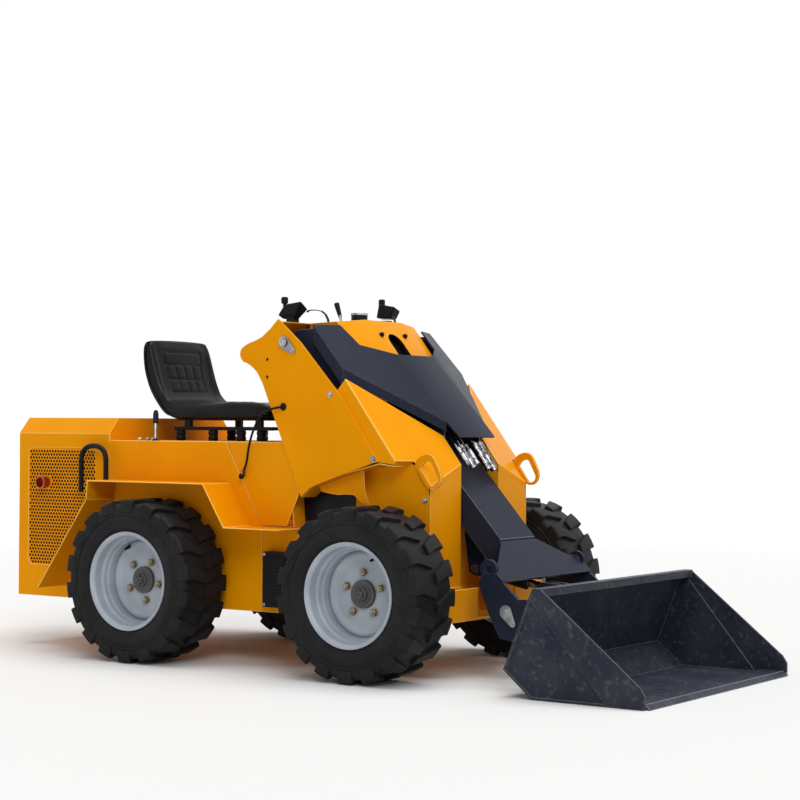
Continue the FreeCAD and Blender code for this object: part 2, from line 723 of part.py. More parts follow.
# Cylinders
def cylinder_set(name, foot, eye, offset, barrel, rod, foot_pin, barrel_share, rod_share):
    """Barrel with its eye at the foot, and a rod that reaches the far eye."""
    a = Vector(num(foot[0]), offset, num(foot[1]))
    b = Vector(num(eye[0]), offset, num(eye[1]))
    along = b - a
    length = along.Length
    along.normalize()
    width, foot_width = num(S["eye_half"]), num(barrel)
    across = Vector(0, 1, 0)
    bore = num(rod) + num(S["pin_gap"])
    tube = Part.makeCylinder(num(barrel), length * barrel_share - num(barrel) * 0.6, a + along * num(barrel) * 0.6, along)
    tube = tube.cut(Part.makeCylinder(bore, length, a + along * (num(barrel) + 12), along))
    eye_foot = Part.makeCylinder(num(barrel), foot_width * 2, a - across * foot_width, across)
    bored = Part.makeCylinder(num(foot_pin) + num(S["pin_gap"]), foot_width * 2, a - across * foot_width, across)
    tube = tube.fuse(eye_foot).cut(bored)
    shaft = Part.makeCylinder(num(rod), length * (1 - rod_share) - num(rod), a + along * length * rod_share, along)
    eye_rod = Part.makeCylinder(num(rod) + 5, width * 2, b - across * width, across)
    return tube, shaft.fuse(eye_rod)


def lift_cylinders():
    tube, shaft = cylinder_set("lift", lift_foot, lift_eye, -num(S["lift_offset"]), S["lift_barrel"], S["lift_rod"],
                               S["lift_pin"], 0.68, 0.3)
    pair("lift_barrels", solid_feature("lift_barrel_right", tube))
    pair("lift_rods", solid_feature("lift_rod_right", shaft))


def tilt_cylinder():
    tube, shaft = cylinder_set("tilt", tilt_foot, tilt_eye, 0.0, S["tilt_barrel"], S["tilt_rod"],
                               S["hinge_radius"], 0.72, 0.26)
    node("tilt_barrel", solid_feature("tilt_barrel", tube))
    node("tilt_rod", solid_feature("tilt_rod", shaft))


lift_cylinders()
tilt_cylinder()


def cylinder_pins():
    """Brackets on the frame's floor with the lift cylinders' lower pins, and the tilt cylinder's pin."""
    fx, fz = lift_foot
    floor = S["belly_height"] + S["frame_wall"]
    outline = [(fx - 60, floor), (fx + 60, floor), (fx + 22, fz + 20), (fx - 22, fz + 20)]
    reach = S["lift_barrel"] + S["side_gap"]
    bracket = Piece("lift_bracket")
    for low in (-S["lift_offset"] + reach, -S["lift_offset"] - reach - S["lug_plate"]):
        bracket.pad("XZ", outline, low, S["lug_plate"])
    bracket.pad("XZ", ("circle", lift_foot, S["lift_pin"]), -S["lift_offset"] - reach - S["lug_plate"] - 2,
                (reach + S["lug_plate"] + 2) * 2)
    pair("lift_brackets", bracket.body)
    reach = S["tilt_barrel"] + S["side_gap"] + S["lug_plate"] + 6
    pin = Piece("tilt_pin")
    pin.pad("XZ", ("circle", tilt_foot, S["hinge_radius"]), -reach, reach * 2)
    node("tilt_pin", pin.body)


cylinder_pins()


# Attachment
def bucket():
    half, thin = S["bucket_half"], S["bucket_sheet"]
    floor = S["bucket_clear"]
    back_top = (ahead(S["bucket_back"]), S["bucket_top"])
    heel = (ahead(S["heel_back"]), S["heel_height"])
    under = (ahead(S["floor_back"]), floor)
    lip = (ahead(S["lip_reach"]), floor)
    shell = Piece("bucket")
    shell.pad("XZ", [back_top, heel, under, (lip[0] - 14, floor), (lip[0] - 14, floor + thin), (under[0] + 3, floor + thin),
                     (heel[0] + thin + 1, heel[1] + 2), (back_top[0] + thin, back_top[1])], -half, half * 2)
    side = [back_top, heel, under, (ahead(916), floor), (ahead(638 + 22), 310), (ahead(654), S["bucket_top"])]
    band = [(ahead(892), floor + thin), (ahead(1024), floor + thin), (ahead(1024), 41), (ahead(1008), 65),
            (ahead(674), 332), (ahead(648), 332), (ahead(636), 299)]
    lap = S["bucket_band"]
    for low, skin in ((-half + lap, -half), (half - lap - thin, half - lap)):
        shell.pad("XZ", side, low, thin)
        shell.pad("XZ", band, skin, lap)
    shell.pad("XZ", box((ahead(643), S["bucket_top"] - 24), (ahead(675), S["bucket_top"])), -half, half * 2)
    node("bucket", shell.body)


bucket()


def attach_frame():
    """Quick-attach frame behind the bucket: two ears on the hinge pins, a back plate and the cylinder's lugs."""
    hx, hz = hinge
    back_top = (ahead(S["bucket_back"]), S["bucket_top"])
    heel = (ahead(S["heel_back"]), S["heel_height"])
    # points on the bucket's back wall, by their share of its height
    def on_back(share, off):
        return (heel[0] + (back_top[0] - heel[0]) * share - off * 0.93, heel[1] + (back_top[1] - heel[1]) * share + off * 0.37)
    reach = S["head_half"] - 12 - 3
    frame = Piece("attach_frame")
    frame.pad("XZ", [on_back(0.06, 0), on_back(0.94, 0), on_back(0.94, 10), on_back(0.06, 10)], -reach, reach * 2)
    ear = [(hx - 30, hz - 16), (hx - 6, hz - 34), on_back(0.1, 5), on_back(0.8, 5), (hx + 10, hz + 36), (hx - 26, hz + 22)]
    for low in (-reach, reach - 12):
        frame.pad("XZ", ear, low, Size(12, "12"))
    frame.pocket("XZ", ("circle", hinge, S["hinge_radius"] + S["pin_gap"]), -reach, reach * 2)
    ex, ez = tilt_eye
    lug = [(ex - 18, ez - 12), (ex + 4, ez - 22), (ex + 60, ez - 24), on_back(0.3, 5), on_back(0.78, 5), (ex + 60, ez + 18), (ex, ez + 20), (ex - 18, ez + 10)]
    for low in (S["eye_half"] + 4, -S["eye_half"] - 12):
        frame.pad("XZ", lug, low, Size(8, "8"))
    node("attach_frame", frame.body)


attach_frame()


# Pins
def keeper_outline(place, radius, bolt, small):
    """Drop-shaped keeper plate round a pin's end, narrowing to its bolt."""
    line = math.atan2(bolt[1], bolt[0])
    open_half = math.acos((radius - small) / math.hypot(*bolt))
    points = []
    for k in range(13):
        turn = line + open_half + (2 * math.pi - 2 * open_half) * k / 12.0
        points.append((place[0] + radius * math.cos(turn), place[1] + radius * math.sin(turn)))
    for k in range(7):
        turn = line - open_half + 2 * open_half * k / 6.0
        points.append((place[0] + bolt[0] + small * math.cos(turn), place[1] + bolt[1] + small * math.sin(turn)))
    return points


def pins():
    px, pz = pivot
    hx, hz = hinge
    sets = (
        # name, place, outer face, inner end, radius, keeper's bolt from the pin
        ("boom_pivot_pins", pivot, S["tower_half"], S["yoke_half"] - S["yoke_plate"] - 8, S["pivot_radius"], (37, -29)),
        ("bucket_hinge_pins", hinge, S["head_half"], S["head_half"] - 12 - 3 - 12 - 6, S["hinge_radius"], (26, -36)),
    )
    for name, place, high, low, radius, bolt in sets:
        pin = Piece(name + "_right")
        pin.pad("XZ", ("circle", place, radius), -high, high - low)
        pin.pad("XZ", keeper_outline(place, 22.0, bolt, 11.0), -high - S["keeper"], S["keeper"])
        pin.pad("XZ", ("circle", place, Size(9, "9")), -high - S["keeper"] - 4, Size(4, "4"))
        pin.pad("XZ", ("circle", (place[0] + bolt[0], place[1] + bolt[1]), Size(6.5, "6.5")),
                -high - S["keeper"] - 5, Size(5, "5"))
        pair(name, pin.body)


pins()


# Wheels
def rim(name, x, side):
    half, radius = S["rim_width"] / 2.0, S["rim_radius"]
    seat, well, wall, bore = S["rim_seat"], S["rim_well"], S["rim_wall"], S["hub_bore"]
    # outward from the middle plane, radius: the barrel's outer side, its inner side, the dished disc
    outline = [(half, radius), (half - 6, radius), (half - 6, seat), (half - 38, seat), (half - 46, well + 6),
               (half - 58, well + 6), (half - 66, well), (-half + 50, well), (-half + 40, seat), (-half + 6, seat),
               (-half + 6, radius), (-half, radius), (-half, seat - wall), (-half + 37, seat - wall),
               (-half + 47, well - wall), (Size(-8, "-8"), well - wall), (Size(1, "1"), well - wall - 7),
               (Size(5, "5"), well - wall - 13), (Size(4, "4"), well - wall - 19), (Size(-3, "-3"), well - wall - 29),
               (Size(-4, "-4"), bore), (Size(4, "4"), bore), (Size(5, "5"), well - wall - 31),
               (Size(12, "12"), well - wall - 18), (Size(13, "13"), well - wall - 11), (Size(8, "8"), well - wall - 4),
               (Size(3, "3"), well - wall), (half - 69, well - wall), (half - 61, well), (half - 49, well),
               (half - 41, seat - wall), (half - 8, seat - wall), (half - 3, seat + 1), (half, radius - 5)]
    piece = Piece(name)
    piece.turn("YZ", [(u * side, r) for u, r in outline])
    piece.at(x, S["wheel_track"] / 2.0 * side, axle_height)
    return node(name, piece.body)


LUGS = 18
# Rings across half a tyre, from the bead to the middle of the tread
TYRE_RINGS = (
    # from the middle plane, radius, bar's start and width along the tread, bar's top from the middle plane, its radius
    (93, 173.5, 0, 44, None, None), (107, 206, 0, 44, None, None), (105.5, 234, 0, 44, None, None),
    (97, 257, 0, 44, 105.5, 277), (42, 265, 25, 30, 42, 282), (2, 266, 44, 24, 2, 282),
)


def zipped(first, second):
    """Triangles between two rings, each a list of (angle, place) over one full turn."""
    full = 2 * math.pi
    rings = [sorted(((angle % full, spot) for angle, spot in ring), key=lambda item: item[0])
             for ring in (first, second)]
    at = [0, 0]
    found = []

    def place(which, step):
        ring = rings[which]
        return ring[step % len(ring)][0] + full * (step // len(ring)), ring[step % len(ring)][1]

    while at[0] < len(rings[0]) or at[1] < len(rings[1]):
        here = [place(0, at[0]), place(1, at[1])]
        ahead_of = [place(0, at[0] + 1), place(1, at[1] + 1)]
        which = 0 if at[1] >= len(rings[1]) or (at[0] < len(rings[0]) and ahead_of[0][0] <= ahead_of[1][0]) else 1
        found.append((here[0][1], here[1][1], ahead_of[which][1]))
        at[which] += 1
    return found


def tyre_shape():
    """A tyre of flat faces about the Y axis, with staggered rows of bars that are one with its tread."""
    out = num(S["tyre_radius"])
    corners = []

    def spot(side, u, radius, along, row):
        # the bars' inner ends lead when the machine rolls forward
        turn = along / out + 2 * math.pi * (row + 0.25 * side) / LUGS
        return turn, Vector(-radius * math.sin(turn), side * u, -radius * math.cos(turn))

    def skin(*spots):
        for k in range(1, len(spots) - 1):
            corners.append((spots[0][1], spots[k][1], spots[k + 1][1]))

    inner, beads = {}, {}
    for side in (-1, 1):
        low = [[[spot(side, u, radius, start + more, k) for more in (0, width)] for k in range(LUGS)]
               for u, radius, start, width, lug_u, lug_radius in TYRE_RINGS]
        top = [[[spot(side, lug_u, lug_radius, start + more, k) for more in (0, width)] for k in range(LUGS)]
               if lug_u is not None else None for u, radius, start, width, lug_u, lug_radius in TYRE_RINGS]
        bead = num(S["rim_seat"]) * 1.0013 / math.cos(math.pi / LUGS)
        beads[side] = [spot(side, TYRE_RINGS[0][0], bead, 0, k) for k in range(LUGS)]
        corners += zipped(beads[side], [item for row in low[0] for item in row])
        for i in range(len(low) - 1):
            near, far = top[i] or low[i], top[i + 1] or low[i + 1]
            for k in range(LUGS):
                after = (k + 1) % LUGS
                skin(low[i][k][1], low[i + 1][k][1], low[i + 1][after][0], low[i][after][0])
                skin(near[k][0], far[k][0], far[k][1], near[k][1])
                if top[i + 1]:
                    for end in (0, 1):
                        wall = [low[i][k][end], low[i + 1][k][end], far[k][end]]
                        skin(*(wall + [near[k][end]] if top[i] else wall))
        for k in range(LUGS):
            skin(low[-1][k][0], low[-1][k][1], top[-1][k][1], top[-1][k][0])
        inner[side] = [item for row in low[-1] for item in row]
    corners += zipped(inner[-1], inner[1]) + zipped(beads[-1], beads[1])
    faces = [Part.Face(Part.makePolygon([a, b, c, a])) for a, b, c in corners]
    shell = Part.makeShell(faces)
    shell.sewShape()
    solid = Part.makeSolid(shell)
    if solid.Volume < 0:
        solid.reverse()
    print("tyre: %d flat faces" % len(solid.Faces))
    return solid


def wheels():
    ring = tyre_shape()
    for end, x in (("front", front_axle), ("rear", rear_axle)):
        for hand, side in (("right", -1), ("left", 1)):
            rim("rim_%s_%s" % (end, hand), x, side)
            item = doc.addObject("Part::Feature", "tyre_%s_%s" % (end, hand))
            item.Shape = ring.copy()
            item.Placement = Placement(Vector(num(x), num(S["wheel_track"]) / 2.0 * side, num(axle_height)), Rotation())
            node("tyre_%s_%s" % (end, hand), item)


wheels()


def wheel_motors():
    """Hydraulic wheel motors bolted to the frame, each with the spindle that carries its wheel."""
    items = []
    for end, x, wall in (("front", front_axle, S["frame_half"]), ("rear", rear_axle, S["body_half"])):
        for hand, side in (("right", -1), ("left", 1)):
            piece = Piece("motor_%s_%s" % (end, hand))
            near = wall
            far = S["wheel_track"] / 2.0 - 4 - S["pin_gap"]
            low = -far if side < 0 else near
            piece.pad("XZ", ("circle", (x, axle_height), S["hub_radius"]), low, far - near)
            for reach, long, radius in ((0, 20, S["hub_bore"] - S["pin_gap"]), (20, 10, S["hub_bore"] / 2.0)):
                low = -far - reach - long if side < 0 else far + reach
                piece.pad("XZ", ("circle", (x, axle_height), radius), low, Size(long, repr(long)))
            items.append(piece.body)
    group("wheel_motors", items)


wheel_motors()


# Engine, seat and fittings
def block(name, low, high):
    piece = Piece(name)
    piece.pad("XY", box((low[0], low[1]), (high[0], high[1])), low[2], high[2] - low[2])
    return piece


def fittings():
    wall = S["frame_wall"]
    base = S["belly_height"] + wall
    node("engine", block("engine", (tail + 90, Size(-190, "-190"), base), (tail + 560, Size(190, "190"), base + 430)).body)
    deck_top = S["deck_height"]
    half = S["seat_half"]
    pan = seat_height - 83.5
    rail = S["deck_height"] + S["rail_rise"]
    mount = Piece("seat_base")
    mount.pad("XY", box((ahead(-1088), -half + 35), (ahead(-650), half - 35)), pan - 14, Size(14, "14"))
    for low in (-half + 38, half - 62):
        mount.pad("XY", box((ahead(-1076), low), (ahead(-640), low + 24)), rail, pan - 14 - rail)
        for back in (-1066, -962, -838, -690):
            mount.pad("XY", box((ahead(back), low - 4), (ahead(back + 34), low + 28)), S["deck_height"], S["rail_rise"])
    node("seat_base", mount.body)
    cushion = Piece("seat_cushion")
    cushion.pad("XZ", [(ahead(-1098), pan), (ahead(-660), pan), (ahead(-622), pan + 31), (ahead(-655), pan + 71),
                       (ahead(-1060), pan + 64), (ahead(-1154), pan + 64)], -half, half * 2)
    node("seat_cushion", cushion.body)
    back = Piece("seat_backrest")
    side = half - 29
    back.pad("XZ", [(ahead(-1155), pan + 64.05), (ahead(-1072), pan + 64.05), (ahead(-1110), pan + 99),
                    (ahead(-1192), back_height), (ahead(-1222), back_height - 3), (ahead(-1230), back_height - 19),
                    (ahead(-1217), pan + 181), (ahead(-1167), pan + 80)], -side, side * 2)
    node("seat_backrest", back.body)


fittings()


def bent_tube(points, radius, bend=None):
    """A round bar along straight runs, with a tangent arc at each corner."""
    spots = [Vector(*[num(v) for v in point]) for point in points]
    start = spots[0]
    pieces = []
    for i in range(1, len(spots)):
        end = spots[i]
        if i == len(spots) - 1:
            pieces.append(Part.makeCylinder(radius, (end - start).Length, start, end - start))
            break
        before = (spots[i] - spots[i - 1]).normalize()
        after = (spots[i + 1] - spots[i]).normalize()
        turn = before.getAngle(after)
        shorter = min((spots[i] - spots[i - 1]).Length, (spots[i + 1] - spots[i]).Length)
        curve = bend if bend else 0.45 * shorter / math.tan(turn / 2.0)
        set_back = curve * math.tan(turn / 2.0)
        end = spots[i] - before * set_back
        if (end - start).Length > 0.01:
            pieces.append(Part.makeCylinder(radius, (end - start).Length, start, end - start))
        axis = before.cross(after).normalize()
        centre = end + axis.cross(before).normalize() * curve
        ring = Part.Face(Part.Wire(Part.makeCircle(radius, end, before)))
        pieces.append(ring.revolve(centre, axis, math.degrees(turn)))
        start = spots[i] + after * set_back
    shape = pieces[0]
    for piece in pieces[1:]:
        shape = shape.fuse(piece)
    return shape


def grab_handles():
    """Bent tube handle on each side of the engine bay."""
    out = num(S["body_half"]) + 34
    left, right = num(rear_axle) - 414, num(rear_axle) - 277
    top, foot, step = num(S["deck_height"]) - 26, num(fender_top) + 18, num(fender_top) - 22
    wall = -num(S["body_half"])
    tube = bent_tube([(left, wall, step), (left, -out, step), (left, -out, top), (right, -out, top),
                      (right, -out, foot), (right, wall, foot)], 12.0, 26.0)
    pair("grab_handles", solid_feature("grab_handle", tube))


grab_handles()


def lift_loops():
    """Lifting and tie-down loops on the legs' outer walls."""
    run = [(82, 691), (109, 727), (125, 731), (156, 712), (184, 654), (161, 621), (133, 618), (98, 660)]
    slot = [(112, 704), (122, 710), (136, 700), (158, 655), (152, 640), (140, 638), (128, 652)]
    wall = -S["frame_half"]
    loop = prism([(num(front_axle) + x, z) for x, z in run], wall - 12, wall)
    hole = prism([(num(front_axle) + x, z) for x, z in slot], wall - 13, wall + 1)
    pair("lift_loops", solid_feature("lift_loop", loop.cut(hole)))


lift_loops()


def control_pods():
    """Tapered boxes on the dash, one by each hand, each with a knob on top, and two levers."""
    px, pz = pivot
    rings = []
    for rise, back, front, inner, outer in ((100, -92, -8, 250, 306), (150, -106, 16, 236, 336)):
        corners = ((back, inner), (front, inner), (front, outer), (back, outer), (back, inner))
        rings.append(Part.makePolygon([Vector(num(px) + x, -y, num(pz) + rise) for x, y in corners]))
    pod = Part.makeLoft(rings, True, True)
    pod = pod.fuse(Part.makeBox(34, 34, 101, Vector(num(px) - 66, -295, num(pz))))
    under = [(num(px) + x, num(pz) + z) for x, z in ((-160, -41), *DASH, (40, 73), (40, -60))]
    pod = pod.cut(prism(under, -380, 0))
    pair("control_pods", solid_feature("control_pod", pod))
    sticks = []
    for x, y, low, rise in ((-84, 290, 150, 14), (-84, -290, 150, 14), (-24, -70, 73.2, 60), (-24, 70, 73.2, 60)):
        spot = Vector(num(px) + x, -y, num(pz) + low)
        stick = Part.makeCylinder(5, rise, spot, Vector(0, 0, 1))
        knob = Part.makeCone(11, 14, 34, spot + Vector(0, 0, rise - 4), Vector(0, 0, 1))
        sticks.append(solid_feature("stick%d" % len(sticks), stick.fuse(knob)))
    foot = Vector(num(front_axle) - 1027, -330.0, num(S["deck_height"]))
    rise = Vector(-25, 30, 107)
    stick = Part.makeCylinder(5, rise.Length + 3, foot - rise * 0.03, rise)
    stick = stick.cut(Part.makeBox(60, 60, 20, foot - Vector(30, 30, 20)))
    grip = Part.makeCone(11, 8, 46, foot + rise * 0.62, rise)
    sticks.append(solid_feature("deck_stick", stick.fuse(grip)))
    group("control_levers", sticks)


control_pods()


def side_fittings():
    """Exhaust stub on the right, step boxes between the wheels and the couplers on the arm."""
    out = S["body_half"]
    stub = Piece("exhaust_stub")
    stub.pad("XZ", ("circle", (ahead(-1540), Size(605, "605")), Size(22, "22")), -out - 45, 45 + S["sheet"])
    stub.pocket("XZ", ("circle", (ahead(-1540), Size(605, "605")), Size(18, "18")), -out - 45, Size(40, "40"))
    node("exhaust_stub", stub.body)
    case = Piece("side_box")
    wall = out - S["sheet"]
    case.pad("XZ", box((ahead(-498), 205), (ahead(-400), 393)), -wall - 40, Size(40, "40"))
    node("side_box", case.body)
    sockets = []
    for start, end in (((84, -60, 772), (148, -60, 682)), ((101, 20, 765), (173, 20, 661))):
        a = Vector(num(front_axle) + start[0], start[1], start[2])
        b = Vector(num(front_axle) + end[0], end[1], end[2])
        foot = Vector(b.x - 22, b.y, arm_top(b.x - 22 - num(front_axle)))
        body = Part.makeCylinder(13, (b - a).Length, a, b - a)
        stand = Part.makeBox(20, 12, b.z - foot.z + 10, Vector(foot.x - 10, foot.y - 6, foot.z + 12))
        stand = stand.fuse(Part.makeBox(8, 12, 30, Vector(foot.x + 2, foot.y - 6, foot.z - 17)))
        sockets.append(solid_feature("coupler%d" % len(sockets), body.fuse(stand).cut(arm_block())))
    group("hose_couplers", sockets)


def arm_block():
    """The space under the arm's upper face, to trim what stands on it."""
    return prism([(num(front_axle) + x, arm_top(x) - drop) for x, drop in ((-172, 0), (284, 0), (284, 60), (-172, 60))],
                 -num(S["arm_half"]), num(S["arm_half"]))


side_fittings()


def cutting_edge():
    """Wear plate along the bucket's lip, welded under the floor's front edge."""
    floor, thin = S["bucket_clear"], S["bucket_sheet"]
    lip = ahead(S["lip_reach"])
    edge = Piece("cutting_edge")
    edge.pad("XZ", [(lip - 110, floor + thin), (lip - 14, floor + thin), (lip - 14, floor), (lip, floor),
                    (lip - 2, floor + 3), (lip - 18, floor + 14), (lip - 110, floor + 14)],
             -S["bucket_half"] + S["bucket_band"] + thin, (S["bucket_half"] - S["bucket_band"] - thin) * 2)
    node("cutting_edge", edge.body)


cutting_edge()


CORD = (
    # ahead of the front axle, from the middle, up
    (-404, -372, 884), (-406, -408, 886), (-478, -414, 876), (-530, -402, 816), (-568, -382, 742),
    (-583, -372, 692), (-598, -366, 664),
)


def cord():
    """Cable from the hole in the right tower plate to a plug on the body's side."""
    points = [(num(front_axle) + x, y, z) for x, y, z in CORD]
    node("control_cord", solid_feature("control_cord", bent_tube(points, 4.0)))
    end, before = Vector(*points[-1]), Vector(*points[-2])
    along = (end - before).normalize()
    plug = Part.makeCylinder(9, 22, end + along * 0.2, along)
    socket = Part.makeBox(26, 26, 20, Vector(num(front_axle) - 626, -num(S["body_half"]) - 30, 634))
    plug = plug.fuse(socket).cut(nodes["side_aprons"].Shape).cut(nodes["deck_side_panels"].Shape)
    node("cord_plug", solid_feature("cord_plug", plug))


doc.recompute()
cord()


def finish():
    doc.recompute()
    os.makedirs("parts", exist_ok=True)
    for item in doc.Objects:
        if "Invalid" in item.State or "Error" in item.State:
            raise RuntimeError("%s did not build: %s" % (item.Label, item.State))
    for name, item in nodes.items():
        shape = item.Shape
        if shape.isNull() or not shape.isValid() or not shape.Solids:
            raise RuntimeError("%s has no valid solid" % name)
    for name, item in nodes.items():
        shape = item.Shape
        if not isinstance(item, FreeCAD.DocumentObject):
            raise RuntimeError(name)
        shape.exportStep("parts/%s.step" % name)
        bounds = shape.BoundBox
        print("%-22s %2d solids  x %7.1f %7.1f  y %7.1f %7.1f  z %7.1f %7.1f" % (
            name, len(shape.Solids), bounds.XMin, bounds.XMax, bounds.YMin, bounds.YMax, bounds.ZMin, bounds.ZMax))


finish()
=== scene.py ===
"""Looks of a compact ride-on skid steer loader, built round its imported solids."""

import json
import logging
import math
from dataclasses import dataclass, field
from enum import Enum
from typing import Any, Callable, Iterable, Optional, Sequence

import bmesh
import bpy
from mathutils import Matrix, Vector

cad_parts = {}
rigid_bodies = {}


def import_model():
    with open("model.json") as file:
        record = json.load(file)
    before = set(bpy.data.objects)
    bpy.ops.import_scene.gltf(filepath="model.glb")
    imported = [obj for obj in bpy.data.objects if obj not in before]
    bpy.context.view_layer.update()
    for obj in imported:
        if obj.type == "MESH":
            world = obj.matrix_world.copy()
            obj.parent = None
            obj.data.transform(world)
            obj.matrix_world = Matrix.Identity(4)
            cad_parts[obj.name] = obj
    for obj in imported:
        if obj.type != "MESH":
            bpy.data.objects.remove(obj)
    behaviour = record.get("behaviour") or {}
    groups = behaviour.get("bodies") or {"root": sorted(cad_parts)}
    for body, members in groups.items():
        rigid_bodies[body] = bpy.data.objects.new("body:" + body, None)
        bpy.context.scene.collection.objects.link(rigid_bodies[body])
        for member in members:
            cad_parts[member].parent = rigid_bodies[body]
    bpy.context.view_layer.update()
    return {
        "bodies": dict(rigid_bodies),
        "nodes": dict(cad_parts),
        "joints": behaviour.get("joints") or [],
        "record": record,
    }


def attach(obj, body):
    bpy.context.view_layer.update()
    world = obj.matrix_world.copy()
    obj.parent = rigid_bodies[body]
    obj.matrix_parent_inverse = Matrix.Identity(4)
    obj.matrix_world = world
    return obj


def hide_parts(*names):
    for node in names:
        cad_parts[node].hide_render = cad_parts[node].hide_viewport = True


log = logging.getLogger("loader")

Object = bpy.types.Object
Frame = dict[str, Any]
Ring = Sequence[Vector]


def spot(ahead: float, left: float, up: float) -> Vector:
    """Turn millimetres from the front axle into a place in the row frame, in metres.

    Args:
        ahead: Distance ahead of the front axle.
        left: Distance from the middle plane to the machine's left.
        up: Height over the ground.

    Returns:
        The place as a vector.
    """
    return Vector(((328.0 + ahead) / 1000.0, left / 1000.0, up / 1000.0))


def across(direction: Vector) -> tuple[Vector, Vector]:
    """Find two directions at right angles to a given one.

    Args:
        direction: Any direction.

    Returns:
        Two unit vectors that complete a right-handed frame with it.
    """
    along = direction.normalized()
    side = along.cross(Vector((0, 0, 1)) if abs(along.z) < 0.9 else Vector((1, 0, 0))).normalized()
    return side, along.cross(side).normalized()


def circle(centre: Vector, direction: Vector, radius: float, sides: int, turn: float = 0.0) -> list[Vector]:
    """Lay out a ring of places round a centre.

    Args:
        centre: Middle of the ring.
        direction: The ring's axis.
        radius: Radius in metres.
        sides: How many places.
        turn: Angle of the first place in radians.

    Returns:
        The places in order.
    """
    side, up = across(direction)
    steps = [turn + 2.0 * math.pi * k / sides for k in range(sides)]
    return [centre + side * (math.cos(a) * radius) + up * (math.sin(a) * radius) for a in steps]


